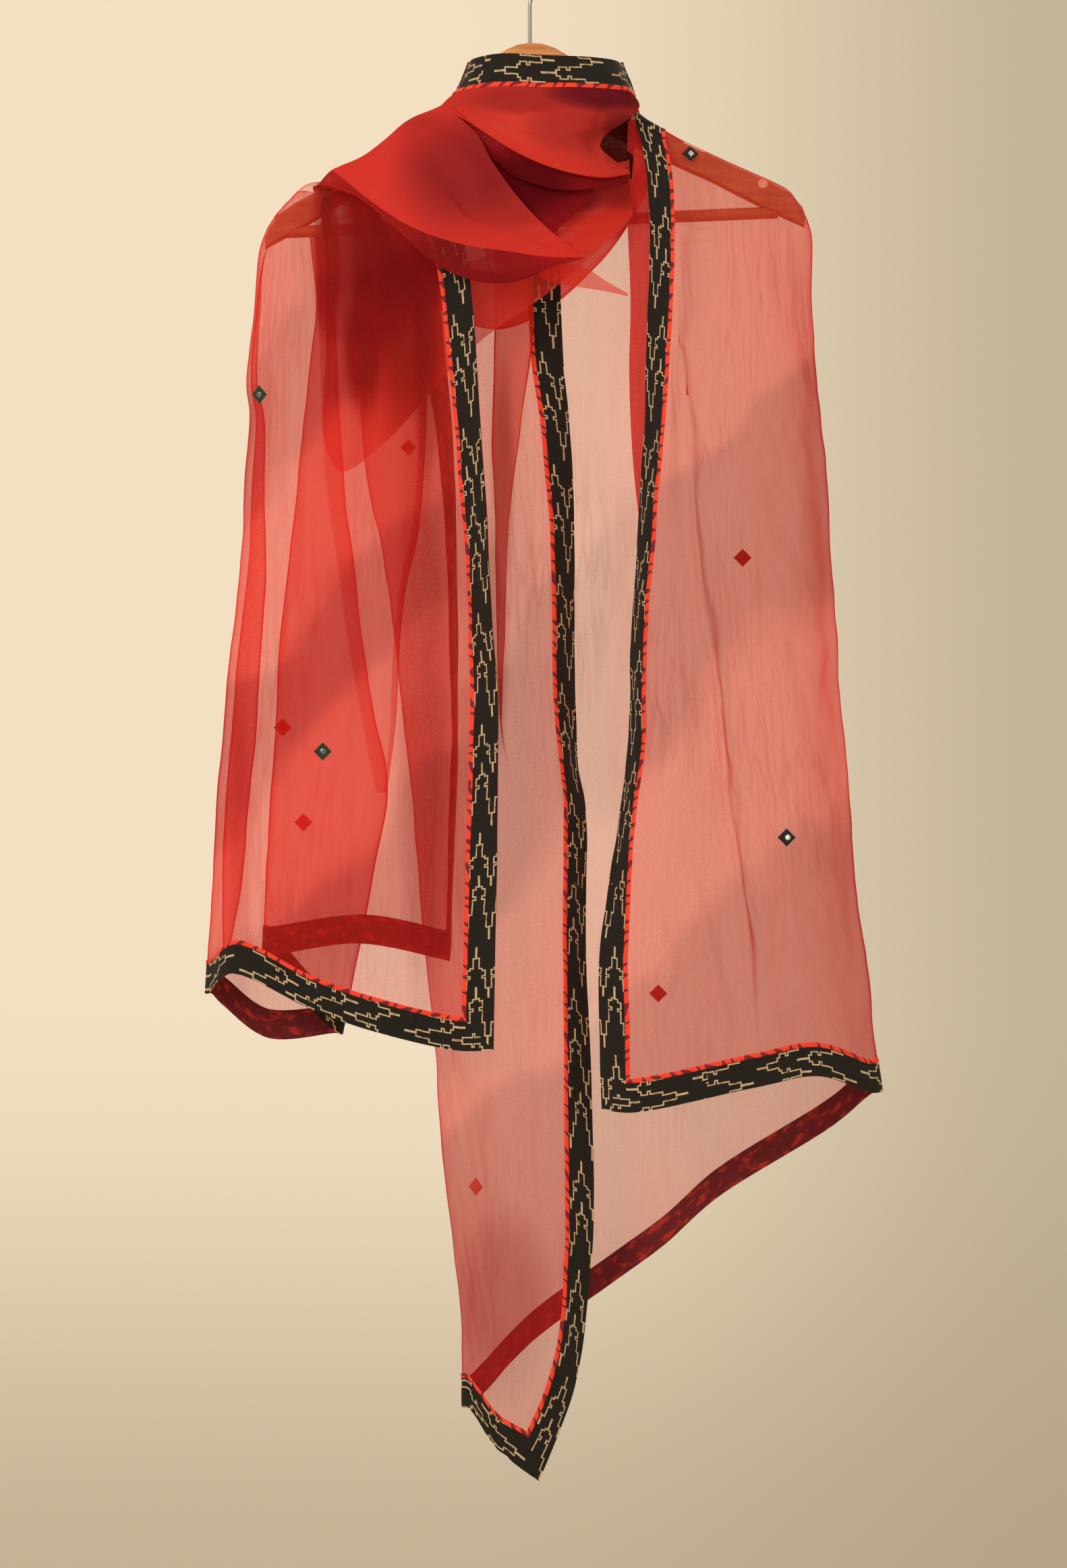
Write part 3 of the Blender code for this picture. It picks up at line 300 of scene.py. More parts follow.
# Creases, by sheet and the first and last rib of the panel they lie in: points seen from the front, width, height,
# and how much of the height comes back as a trough on the far side
CREASES = {
    ("end1", 0, 4): (
        (((162, -243), (164, -284), (159, -317), (150, -365)), 4.0, 2.2, 0.5),
        (((122, -340), (127, -381), (134, -487), (140, -545), (152, -612), (160, -689), (170, -760),
          (180, -860)), 4.6, 6.5, 0.8),
        (((152, -560), (154, -640), (158, -700), (176, -800), (184, -905)), 2.6, 3.4, 0.8),
        (((214, -250), (216, -320), (222, -430), (226, -520)), 9.0, 2.2, 0.3),
        (((190, -420), (202, -560), (214, -700), (226, -860)), 16.0, 2.5, 0.3),
        (((96, -600), (104, -640), (101, -690)), 4.0, 3.0, 0.8),
        (((100, -790), (112, -840), (104, -905)), 6.0, 3.0, 0.6),
        (((128, -760), (150, -840), (158, -930)), 8.0, 3.0, 0.6),
        (((120, -240), (165, -246)), 3.0, 1.5, 0.5),
        (((118, -256), (150, -252), (185, -262)), 3.5, 1.4, 0.5),
    ),
    ("end1", 4, 11): (
        (((60, -300), (66, -480), (60, -700), (70, -960)), 14.0, 3.0, 0.4),
        (((120, -520), (132, -700), (126, -900), (132, -1040)), 12.0, 3.0, 0.4),
        (((-20, -260), (-30, -500), (-24, -800), (-16, -1120)), 16.0, 4.0, 0.4),
        (((175, -300), (186, -600), (192, -900)), 14.0, 3.0, 0.4),
    ),
    ("end1", 12, 16): (
        (((-60, -380), (-64, -560), (-60, -760), (-48, -960), (-40, -1150)), 8.0, 3.0, 0.5),
        (((-8, -760), (-4, -900), (2, -1080), (-4, -1200)), 7.0, 2.5, 0.5),
    ),
    ("end2", 0, 5): (
        (((-150, -235), (-146, -330), (-150, -480), (-152, -640), (-160, -860)), 10.0, 4.0, 0.5),
        (((-196, -250), (-190, -360), (-196, -560), (-206, -760), (-214, -860)), 9.0, 3.5, 0.5),
        (((-96, -300), (-92, -480), (-88, -700), (-90, -890)), 10.0, 3.5, 0.5),
        (((-70, -440), (-62, -500), (-60, -560), (-66, -620)), 4.0, 2.6, 0.7),
        (((-117, -660), (-110, -735), (-98, -795), (-93, -840), (-97, -892)), 2.2, 3.4, 0.7),
        (((-104, -640), (-104, -720), (-88, -800)), 2.0, 1.6, 0.6),
    ),
    ("end1", 13, 16): (
        (((0, -362), (-4, -405), (3, -445), (3, -476), (6, -525)), 1.6, 3.2, 0.8),
        (((4, -560), (2, -600), (6, -650), (8, -700)), 1.6, 2.4, 0.8),
    ),
    ("end2", 7, 9): (
        (((-200, -300), (-196, -500), (-190, -700), (-184, -880)), 10.0, 3.0, 0.5),
    ),
    ("swag", 0, 4): (
        (((-120, -178), (-86, -200), (-52, -236), (-20, -256)), 7.0, 3.0, 0.6),
        (((-150, -196), (-116, -222), (-84, -252), (-50, -270), (-10, -274)), 6.0, 2.6, 0.6),
        (((-92, -156), (-60, -176), (-36, -212), (-8, -238)), 6.0, 2.2, 0.5),
    ),
    ("cowl", 0, 4): (
        (((-40, -140), (-10, -158), (24, -166), (56, -160)), 7.0, 2.4, 0.5),
        (((-56, -130), (-30, -138), (0, -144), (30, -146)), 6.0, 1.8, 0.5),
        (((70, -136), (60, -152), (52, -168), (58, -184)), 6.0, -5.0, 0.3),
    ),
}


# Curves and grids


def smooth(points, steps=12):
    """A centripetal Catmull-Rom curve through the points, with this many steps from each point to the next."""
    p = np.asarray(points, float)
    p = np.vstack([2 * p[0] - p[1], p, 2 * p[-1] - p[-2]])
    made = []
    for i in range(1, len(p) - 2):
        t = [0.0]
        for j in range(3):
            t.append(t[-1] + max(np.linalg.norm(p[i + j] - p[i + j - 1]), 1e-6) ** 0.5)
        s = np.linspace(t[1], t[2], steps, endpoint=False)[:, None]
        a = [((t[k + 1] - s) * p[i + k - 1] + (s - t[k]) * p[i + k]) / (t[k + 1] - t[k]) for k in range(3)]
        b = [((t[k + 2] - s) * a[k] + (s - t[k]) * a[k + 1]) / (t[k + 2] - t[k]) for k in range(2)]
        made.append(((t[2] - s) * b[0] + (s - t[1]) * b[1]) / (t[2] - t[1]))
    return np.concatenate(made + [p[-2:-1]])


def lengths_of(line):
    """Length along the line up to each of its points."""
    return np.concatenate([[0], np.cumsum(np.linalg.norm(np.diff(line[:, :3], axis=0), axis=1))])


def along(line, distances):
    """The line's points at these lengths along it."""
    lengths = lengths_of(line)
    return np.stack([np.interp(distances, lengths, line[:, axis]) for axis in range(line.shape[1])], axis=1)


def across(points, names):
    """A curve across the ribs, with a round turn at each fold, and the place of each rib on it."""
    made, places = [], []
    for order, (name, point) in enumerate(zip(names, points)):
        radius, lies = FOLDS.get(name, (0, 0))
        turn = (point,)
        if radius and 0 < order < len(points) - 1:
            before, after = points[order - 1] - point, points[order + 1] - point
            nearest = min(np.linalg.norm(before), np.linalg.norm(after))
            inward = before / max(np.linalg.norm(before), 1e-6) + after / max(np.linalg.norm(after), 1e-6)
            sharp = np.linalg.norm(inward)
            if sharp > 0.5 and nearest > 1:
                inward /= sharp
                aside = np.cross(inward, (0, 0, 1.0))
                size = np.linalg.norm(aside)
                if size > 0.3:
                    aside *= lies * math.copysign(1 / size, aside[1])
                else:
                    aside = (before - after) - inward * np.dot(before - after, inward)
                    aside /= max(np.linalg.norm(aside), 1e-6)
                reach = min(radius, nearest / 3) * min(1.0, (sharp - 0.5) / 0.5)
                turn = (point + reach * (inward + aside), point, point + reach * (inward - aside))
        made += turn
        places.append(len(made) - 1 - len(turn) // 2)
    return smooth(made, FOLD_STEPS), [place * FOLD_STEPS for place in places]


# Distances below an arm's top at which a row of the cloth still lies on the arm
LAID_ROWS = (0.0, 2.5, 6.0, 10.0, 15.0)


def loft(table, step_across, step_down):
    """A grid of points over a table of ribs, and the column at which each rib lies."""
    names, at_arms, sides, _ = zip(*table)
    on_arm = table in (END_1, END_2)
    head = LAID_ROWS if on_arm else (0.0,)
    lines = [smooth((ridge(at, side) if at is not None else []) + list(points), 14) for _, at, side, points in table]
    sizes = [lengths_of(line)[-1] for line in lines]
    rows = max(3, int(max(sizes) / step_down))
    down = []
    for line, size in zip(lines, sizes):
        down.append(along(line, np.concatenate([head[:-1], np.linspace(head[-1], size, rows)])))
    curves = [across([line[row] for line in down], names) for row in range(len(down[0]))]
    segments = []
    for part in range(len(table) - 1):
        sizes = [lengths_of(curve[places[part] : places[part + 1] + 1])[-1] for curve, places in curves]
        segments.append(max(2, int(np.percentile(sizes, 85) / step_across)))
    grid = []
    for number, (curve, places) in enumerate(curves):
        row = []
        for part, columns in enumerate(segments):
            piece = curve[places[part] : places[part + 1] + 1]
            points = along(piece, np.linspace(0, lengths_of(piece)[-1], columns + 1))
            if number < len(head) and on_arm and None not in at_arms[part : part + 2]:
                side = sides[part] if sides[part] != ON_TOP else sides[part + 1]
                tip = abs(at_arms[part] if sides[part] == ON_TOP else at_arms[part + 1])
                near_tip = ON_TOP in sides[part : part + 2]
                for index, point in enumerate(points):
                    at_rest = along(smooth(ridge(point[0], side), 6), [head[number]])[0]
                    share = np.clip((tip - 0.5 - abs(point[0])) / 8, 0, 1) if near_tip else 1.0
                    points[index] = point + (at_rest - point) * share
            row.append(points if part == len(segments) - 1 else points[:-1])
        grid.append(np.concatenate(row))
    return np.array(grid), np.concatenate([[0], np.cumsum(segments)])


def normals_of(grid):
    normals = np.cross(np.gradient(grid, axis=1), np.gradient(grid, axis=0))
    return normals / np.maximum(np.linalg.norm(normals, axis=2, keepdims=True), 1e-9)


def uneven(u, v, seed, size_u, size_v):
    """Smooth unevenness over flat cloth, about -1 to 1, the same on every run."""
    random = np.random.default_rng(seed)
    made = np.zeros_like(u)
    for _ in range(9):
        turn, other = random.uniform(0, 2 * math.pi, 2)
        fu, fv = random.uniform(0.5, 1.5, 2) * (1 / size_u, random.choice((-1, 1)) / size_v)
        made += np.sin(2 * math.pi * (fu * u + fv * v) + turn + 1.3 * np.sin(4.1 * fv * v + other))
    return made / 4


def flat_place(grid):
    """Distance across and along the cloth at each grid point, in millimetres."""
    wide = np.linalg.norm(np.diff(grid, axis=1), axis=2)
    tall = np.linalg.norm(np.diff(grid, axis=0), axis=2)
    u = np.concatenate([np.zeros((grid.shape[0], 1)), np.cumsum(wide, axis=1)], axis=1)
    v = np.concatenate([np.zeros((1, grid.shape[1])), np.cumsum(tall, axis=0)], axis=0)
    return np.broadcast_to(np.median(u, axis=0)[None], u.shape), np.broadcast_to(np.median(v, axis=1)[:, None], v.shape)


def creased(grid, ribs, name, face, roughly):
    """The sheet with its listed creases, and a little unevenness all over."""
    normals = normals_of(grid) * face
    u, v = flat_place(grid)
    move = np.zeros(grid.shape[:2])
    base = grid[..., [0, 2]]
    listed = [(key[1:], *row) for key, rows in CREASES.items() if key[0] == name for row in rows]
    for (first, last), points, width, height, back in listed:
        line = np.array(points, float)
        best = np.full(grid.shape[:2], 1e9)
        signed, place = np.zeros(grid.shape[:2]), np.zeros(grid.shape[:2])
        starts = np.concatenate([[0], np.cumsum(np.linalg.norm(np.diff(line, axis=0), axis=1))])
        for index, (a, b) in enumerate(zip(line[:-1], line[1:])):
            step = b - a
            t = np.clip(((base - a) @ step) / (step @ step), 0, 1)
            offset = base - (a + t[..., None] * step)
            away = np.linalg.norm(offset, axis=2)
            closer = away < best
            best = np.where(closer, away, best)
            side = np.sign(step[0] * offset[..., 1] - step[1] * offset[..., 0])
            signed = np.where(closer, side * away, signed)
            place = np.where(closer, starts[index] + t * np.linalg.norm(step), place)
        taper = np.sin(math.pi * np.clip(place / starts[-1] * 0.94 + 0.03, 0, 1)) ** 0.6
        sway = 1 + 0.3 * np.sin(place / 23.0 + width) + 0.2 * np.sin(place / 11.0 + height)
        x = signed / (width * sway)
        profile = np.exp(-(x**2)) - back * np.exp(-((x - 1.9) ** 2) / 1.6)
        columns = np.arange(grid.shape[1])
        inside = np.clip(np.minimum(columns - ribs[first], ribs[last] - columns) / 5.0, 0, 1)
        inside = np.where((first == 0) & (columns < (ribs[0] + ribs[last]) / 2), 1.0, inside)
        move += height * profile * taper * inside[None, :]
    below_top = np.clip((v - v.min()) / 60.0, 0, 1) if roughly else 0
    move += roughly * below_top * uneven(u, v, len(name) + 7, 90, 210)
    move += 0.35 * roughly * below_top * uneven(u, v, len(name) + 31, 26, 90)
    return grid + normals * move[..., None]


def make_object(name, points, faces, uvs, material, sharp=50.0):
    mesh = bpy.data.meshes.new(name)
    mesh.from_pydata([tuple(p) for p in np.asarray(points) * MM], [], [tuple(int(i) for i in f) for f in faces])
    layer = mesh.uv_layers.new(name="flat")
    layer.data.foreach_set("uv", np.asarray(uvs, np.float32).ravel())
    mesh.materials.append(material)
    mesh.shade_smooth()
    mesh.set_sharp_from_angle(angle=math.radians(sharp))
    made = bpy.data.objects.new(name, mesh)
    bpy.context.scene.collection.objects.link(made)
    return made


def grid_faces(height, width):
    r, c = np.meshgrid(np.arange(height - 1), np.arange(width - 1), indexing="ij")
    a = (r * width + c).ravel()
    return np.stack([a, a + 1, a + width + 1, a + width], axis=1)


def make_sheet(name, grid, material, nodes):
    """One layer of cloth with its flat place as UV in metres; its cut size is worked out but not declared."""
    height, width = grid.shape[:2]
    u, v = flat_place(grid)
    faces = grid_faces(height, width)
    flat = np.stack([u, v], axis=2).reshape(-1, 2) * MM
    made = make_object(name, grid.reshape(-1, 3), faces, flat[faces].reshape(-1, 2), material, sharp=170)
    corners = grid.reshape(-1, 3)[faces] * MM
    area = 0.5 * np.linalg.norm(np.cross(corners[:, 2] - corners[:, 0], corners[:, 3] - corners[:, 1]), axis=1).sum()
    wide = np.linalg.norm(np.diff(grid, axis=1), axis=2).sum(axis=1).max() * MM
    tall = np.linalg.norm(np.diff(grid, axis=0), axis=2).sum(axis=0).max() * MM
    if area < 0.4 * wide * tall:
        shrink = math.sqrt(area / (0.5 * wide * tall))
        wide, tall = wide * shrink, tall * shrink
    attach(made, "root")
    if nodes:
        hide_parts(*nodes)
    return made


def shell(name, top, bottom, u, v, material, jumps=()):
    """A closed thin shell between two grids, its flat place as UV in metres, the figure shifted beyond each join."""
    height, width = top.shape[:2]
    count, last = height * width, (height - 1) * width
    faces = grid_faces(height, width)
    pairs = [(c, c + 1) for c in range(width - 1)] + [(last + c + 1, last + c) for c in range(width - 1)]
    pairs += [((r + 1) * width, r * width) for r in range(height - 1)]
    pairs += [(r * width + width - 1, (r + 1) * width + width - 1) for r in range(height - 1)]
    rims = [(end, start, start + count, end + count) for start, end in pairs]
    every = np.concatenate([faces, faces[:, ::-1] + count, np.array(rims)])
    flat = np.stack([u, v], axis=2).reshape(-1, 2)
    loops = np.concatenate([flat, flat])[every]
    for join, shift in jumps:
        beyond = loops[..., 1].mean(axis=1) > join
        loops[beyond] += (0.11 * shift, shift)
    points = np.concatenate([top.reshape(-1, 3), bottom.reshape(-1, 3)])
    return make_object(name, points, every, loops.reshape(-1, 2) * MM, material)


def trim(name, grid, normals, key, mitres, material, slot, distances, low, high, bulge=0.0, jumps=()):
    """A thin strip along an edge (a or b) or the hem (h), between two heights over the cloth, and mitred."""
    both = np.concatenate([grid, normals], axis=2)
    work = both if key == "a" else both[:, ::-1] if key == "b" else both[::-1].transpose(1, 0, 2)
    lines = np.array([along(line, distances) for line in work])
    total = lengths_of(lines[:, 0])[-1]
    count = max(6, int(total / TRIM_STEP))
    strip, places = [], []
    for column, distance in enumerate(distances):
        line = lines[:, column]
        size = lengths_of(line)[-1]
        spaced = np.linspace(distance * mitres[0], size - distance * mitres[1], count)
        strip.append(along(line, spaced))
        places.append(spaced * (total - distance * (mitres[0] + mitres[1])) / (spaced[-1] - spaced[0]))
    strip, places = np.stack(strip, axis=1), np.stack(places, axis=1)
    points, ways = strip[..., :3], strip[..., 3:]
    ways = ways / np.linalg.norm(ways, axis=2, keepdims=True)
    share = (distances - distances[0]) / (distances[-1] - distances[0])
    raised = high + bulge * np.sin(math.pi * share)
    top, bottom = points + ways * raised[None, :, None], points + ways * low
    u = np.broadcast_to(distances[None], places.shape)
    if (np.cross(points[1, 1] - points[1, 0], points[2, 0] - points[1, 0]) * ways[1, 0]).sum() < 0:
        top, bottom, u, places = top[:, ::-1], bottom[:, ::-1], u[:, ::-1], places[:, ::-1]
    made = shell(name, top, bottom, u, places, material, jumps)
    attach(made, "root")
    return made


# Materials


class Graph:
    """The shader nodes of a material or the world, with a short method for each kind of node that is used often."""

    def __init__(self, owner):
        owner.use_nodes = True
        self.owner, self.tree = owner, owner.node_tree
        self.tree.nodes.clear()

    def node(self, kind, sockets=(), **settings):
        made = self.tree.nodes.new("ShaderNode" + kind)
        for key, value in settings.items():
            setattr(made, key, value)
        for key, value in dict(sockets).items():
            value = value.socket if isinstance(value, Number) else value
            if isinstance(value, bpy.types.NodeSocket):
                self.tree.links.new(value, made.inputs[key])
            else:
                made.inputs[key].default_value = value
        return made

    def shader(self, kind, **sockets):
        return self.node(kind, sockets).outputs[0]

    def math(self, operation, *values, clamp=False):
        made = self.node("Math", dict(enumerate(values)), operation=operation, use_clamp=clamp)
        return Number(self, made.outputs[0])

    def ramp(self, value, low, high, to_low=0.0, to_high=1.0):
        sockets = dict(enumerate((value, low, high, to_low, to_high)))
        return Number(self, self.node("MapRange", sockets, interpolation_type="SMOOTHSTEP").outputs[0])

    def noise(self, vector, scale, detail=2.0, rough=0.5, turn=0.0, place=(0, 0, 0)):
        """Noise about 0.5. A scale of three numbers stretches it."""
        if isinstance(scale, tuple):
            sockets = {"Vector": vector, "Scale": scale, "Rotation": (0, 0, turn), "Location": place}
            vector, scale = self.node("Mapping", sockets).outputs[0], 1.0
        return Number(self, self.shader("TexNoise", Vector=vector, Scale=scale, Detail=detail, Roughness=rough))

    def mix(self, share, first, second):
        return self.node("Mix", {0: share, 6: first, 7: second}, data_type="RGBA").outputs[2]

    def mix_shader(self, share, first, second):
        return self.node("MixShader", {0: share, 1: first, 2: second}).outputs[0]

    def bump(self, height, distance, strength=1.0):
        return self.shader("Bump", Height=height, Distance=distance, Strength=strength)

    def flat(self):
        return self.node("UVMap", uv_map="flat").outputs[0]

    def place(self, kind="Object"):
        return self.node("TexCoord").outputs[kind]

    def parts(self, vector):
        return [Number(self, socket) for socket in self.node("SeparateXYZ", {0: vector}).outputs]

    def finish(self, surface, kind="OutputMaterial"):
        self.node(kind, {"Surface": surface})
        return self.owner

    def principled(self, colour, roughness, normal, **fixed):
        sockets = {"Base Color": colour, "Roughness": roughness, "Normal": normal}
        sockets.update({key.replace("_", " "): value for key, value in fixed.items()})
        return self.finish(self.node("BsdfPrincipled", sockets).outputs[0])

    def cotton(self, colour, roughness, normal, sheen, sheen_roughness, specular):
        return self.principled(colour, roughness, normal, Sheen_Weight=sheen, Sheen_Roughness=sheen_roughness,
                               Specular_IOR_Level=specular)


def by_node(operation, swapped=False):
    return lambda self, other: self.graph.math(operation, *((other, self) if swapped else (self, other)))


class Number:
    """A number in a graph. Arithmetic on it adds math nodes."""

    def __init__(self, graph, socket):
        self.graph, self.socket = graph, socket

    def __abs__(self):
        return self.graph.math("ABSOLUTE", self)

    __add__, __mul__ = by_node("ADD"), by_node("MULTIPLY")
    __sub__, __rsub__ = by_node("SUBTRACT"), by_node("SUBTRACT", True)
    __truediv__, __rtruediv__ = by_node("DIVIDE"), by_node("DIVIDE", True)


def new_material(name):
    return Graph(bpy.data.materials.new(name))


def rgb(r, g, b):
    """Linear colour from sRGB numbers of 0 to 255."""
    return tuple(((c / 255 + 0.055) / 1.055) ** 2.4 if c > 10 else c / 255 / 12.92 for c in (r, g, b)) + (1.0,)


# Painted shade on each organza, in soft spots: x, z, radius across and down, and how dark
PAINTED_SHADE_SPOTS = {
    "end1": ((-22, -450, 9, 90, 0.2), (-30, -570, 12, 90, 0.28), (-20, -1120, 34, 70, 0.25)),
    "end2": (
        (-84, -330, 12, 130, 0.5), (-108, -262, 62, 50, 0.58), (-168, -250, 8, 66, 0.5), (-140, -300, 16, 60, 0.35),
        (-86, -600, 20, 260, 0.26), (-134, -350, 16, 44, 0.45), (-236, -780, 9, 150, 0.14)),
    "cowl": ((66, -131, 56, 15, 0.85), (4, -136, 60, 12, 0.42), (72, -162, 14, 26, 0.6), (34, -160, 34, 20, 0.3)),
    "gathered": ((-50, -196, 54, 46, 0.58), (-24, -226, 36, 18, 0.34), (-78, -160, 26, 14, 0.3)),
    "shaded_swag_band": ((-56, -272, 70, 26, 0.4),),
    "doubled": (
        (-164, -262, 9, 70, 0.7), (-134, -300, 10, 90, 0.6), (-100, -290, 26, 120, 1.0), (-134, -340, 15, 46, 0.8),
        (-112, -216, 44, 30, 0.8)),
    "tail": ((10, -216, 60, 16, 0.8), (62, -212, 34, 14, 0.6)),
    "behind": ((60, -230, 46, 14, 0.4),),
    "inside": ((-10, -206, 40, 26, 0.55),),
}


def organza(name, cover, tint=(0.95, 0.050, 0.032), shade=(0.72, 0.028, 0.026), shadow_bands=(), crinkled=0.7, streaked=1.0):
    """Sheer cloth: threads cover a share of it and let light through between them, the more densely the more it turns
    away. Streaks, a crepe grain and fine crinkles vary the threads, and the crinkles are drawn darker as painted shade.
    Slanting stripes (edges in millimetres, measured upward at right angles to them) are painted shadow of light falling
    through in stripes, and the listed spots are painted shade; both are duller, with soft uneven edges."""
    g = new_material(f"organza_{name}")
    flat, place = g.flat(), g.place()
    grain = g.noise(flat, (1050, 620, 1), 2.0, 0.65)
    streak = g.noise(flat, (640, 26, 1), 2.0, 0.6)
    wide_streak = g.noise(flat, (70, 9, 1), turn=0.08)
    crinkle = g.math("SUBTRACT", 1.0, abs(g.noise(flat, (150, 9, 1), 1.5, turn=0.03) - 0.5) * 18.0, clamp=True)
    where = g.noise(flat, (11, 4, 1), 1.0, place=(2.2, 5.1, 0))
    crinkle = crinkle * (g.ramp(where, 0.50, 0.66) * crinkled)
    x, _, z = g.parts(place)
    warp = (g.noise(place, (7, 7, 7)) - 0.5) * 0.13
    upward = x * SHADOW_BAND_WAY[0] + z * SHADOW_BAND_WAY[1] + warp
    in_shadow_band = spot_shade = 0.0
    # Painted shadow: slanting stripes of light and shadow in object space, the same on every layer at one place
    for low, high in shadow_bands:
        above = g.ramp(upward, low * MM - SHADOW_BAND_EDGE, low * MM + SHADOW_BAND_EDGE)
        below = g.ramp(upward, high * MM - SHADOW_BAND_EDGE, high * MM + SHADOW_BAND_EDGE, 1.0, 0.0)
        in_shadow_band = g.math("ADD", in_shadow_band, above * below, clamp=True)
    # Painted shade: soft spots that darken the colour and thicken the cloth
    for shade_x, shade_z, radius_x, radius_z, share in PAINTED_SHADE_SPOTS.get(name, ()):
        away_x, away_z = (x - shade_x * MM) / (radius_x * MM), (z - shade_z * MM) / (radius_z * MM)
        away = away_x * away_x + away_z * away_z + warp * 7.0
        spot_shade = g.math("MAXIMUM", spot_shade, g.ramp(away, 0.1, 1.8, share, 0.0))
    dense = (streak - 0.5) * (0.14 * streaked) + (grain - 0.5) * 0.24 + (wide_streak - 0.5) * (0.07 * streaked)
    dense = dense + crinkle * 0.13 + (spot_shade * 0.45 + in_shadow_band * 0.05)
    covered = g.math("MINIMUM", g.math("ADD", cover, dense, clamp=True), 0.985)
    turned = g.node("LayerWeight", {"Blend": 0.5}).outputs["Facing"]
    slant = g.math("MAXIMUM", g.math("SUBTRACT", 1.0, turned), 0.13)
    open_share = g.math("POWER", 1.0 - covered, 1.0 / slant)
    colour = g.mix(wide_streak * 0.3, (*tint, 1), (tint[0] * 0.88, tint[1] * 0.8, tint[2], 1))
    # Painted shadow: the stripes take the shadow colour
    colour = g.mix(in_shadow_band, colour, (*shade, 1))
    # Painted shade: the spots darken towards a near-black red
    colour = g.mix(spot_shade, colour, (shade[0] * 0.20, shade[1] * 0.22, shade[2] * 0.62, 1))
    # Painted shade in the crinkles: they are drawn darker
    colour = g.mix(crinkle * 0.5, colour, (*(0.6 * c for c in shade), 1))
    normal = g.bump(streak * 0.5 + grain * 0.6 + crinkle * 0.8, 0.0007, 0.5)
    diffuse = g.shader("BsdfDiffuse", Color=colour, Normal=normal)
    through = g.shader("BsdfTranslucent", Color=colour, Normal=normal)
    sheen = g.shader("BsdfSheen", Color=(0.9, 0.26, 0.20, 1), Roughness=0.35, Normal=normal)
    threads = g.mix_shader(0.07, g.mix_shader(0.5, diffuse, through), sheen)
    clear = g.shader("BsdfTransparent", Color=(1, 1, 1, 1))
    return g.finish(g.mix_shader(1.0 - open_share, clear, threads))


def ikat(name):
    """Black ribbed cotton with thin cream lines that step up and down across it in rows of tall notched peaks."""
    pitch, repeat, half_line, steps, notch_half = 21.4, 91.0, 0.55, 5, 0.055
    rows = ((0.0, 45.0, 0.50), (34.0, 52.0, 0.30))  # start, height and place of the notch
    g = new_material(name)
    flat = g.flat()
    sway = g.noise(flat, (12, 16, 1), 1.0) - 0.5
    feather = g.noise(flat, (900, 90, 1), 1.0) - 0.5
    wobble = g.noise(flat, (160, 220, 1), 1.0) - 0.5
    u, v, _ = g.parts(flat)
    u = u * 1000.0 + (sway * 5.0 + wobble * 0.7)
    v = v * 1000.0 + (sway * 16.0 + feather)
    away = abs(g.math("FRACT", (u + (2.6 + 0.5 * pitch)) / pitch) - 0.5) * pitch
    lines = []
    for start, tall, notch_at in rows:
        place = g.math("FRACT", (v + (920.0 - start)) / repeat) * (repeat / tall)

        def half_width(shift):
            share = g.math("ADD", place, shift / tall, clamp=True)
            notch = g.math("LESS_THAN", abs(share - notch_at), notch_half)
            step = g.math("FLOOR", share * (steps * 0.999)) / (steps - 1.0) + notch * 0.25
            return g.math("MINIMUM", g.math("MAXIMUM", step, 0.03), 0.97) * (pitch / 2)

        above, below = half_width(half_line), half_width(-half_line)
        outer = g.math("LESS_THAN", away, g.math("MAXIMUM", above, below) + half_line)
        inner = g.math("LESS_THAN", away, g.math("MINIMUM", above, below) - half_line)
        lines.append(outer * (1.0 - inner) * g.math("LESS_THAN", place, 1.0))
    worn = g.noise(flat, (260, 110, 1), 2.0, 0.7)
    line = g.math("MAXIMUM", *lines) * g.ramp(worn, 0.28, 0.50, 0.35, 0.97)
    threads = g.noise(flat, (1800, 500, 1), 1.0)
    ground = g.mix(threads, rgb(17, 15, 13), rgb(34, 30, 25))
    colour = g.mix(line, ground, g.mix(threads, rgb(172, 144, 108), rgb(208, 186, 152)))
    wave = {"Vector": flat, "Scale": 330.0, "Distortion": 1.2, "Detail": 1.0}
    rib = g.node("TexWave", wave, bands_direction="Y").outputs[1]
    return g.cotton(colour, threads * 0.2 + 0.76, g.bump(threads + rib, 0.0002, 0.6), 0.06, 0.5, 0.18)


def facing_cloth(name):
    """Maroon cotton with lighter red blotches."""
    g = new_material(name)
    flat = g.flat()
    blobs = g.noise(flat, (120, 62, 1), 2.0, 0.55)
    threads = g.noise(flat, (1500, 420, 1), 1.0)
    dark = g.mix(threads, rgb(72, 8, 14), rgb(104, 16, 22))
    light = g.mix(threads, rgb(150, 26, 24), rgb(184, 44, 32))
    colour = g.mix(g.ramp(blobs, 0.50, 0.66, 0.0, 0.75), dark, light)
    return g.cotton(colour, threads * 0.2 + 0.7, g.bump(threads, 0.0002, 0.7), 0.08, 0.5, 0.25)


def piping_cloth(name):
    """Orange-red bias cloth with maroon wedges."""
    g = new_material(name)
    flat = g.flat()
    u, v, _ = g.parts(flat)
    slanted = v * 88.0 + u * 90.0 + g.noise(flat, (30, 48, 1), 1.0) * 2.6
    across_share = (u - BORDER_WIDTH * MM) / (PIPING_WIDTH * MM)
    wedge = g.math("FRACT", slanted) - (across_share * 0.26 + 0.58)
    threads = g.noise(flat, (1500, 1500, 1), 1.0)
    red = g.mix(threads, rgb(214, 44, 30), rgb(238, 70, 44))
    colour = g.mix(g.ramp(wedge, -0.03, 0.03), red, rgb(118, 16, 26))
    return g.cotton(colour, threads * 0.2 + 0.6, g.bump(threads, 0.0002, 0.6), 0.1, 0.4, 0.25)


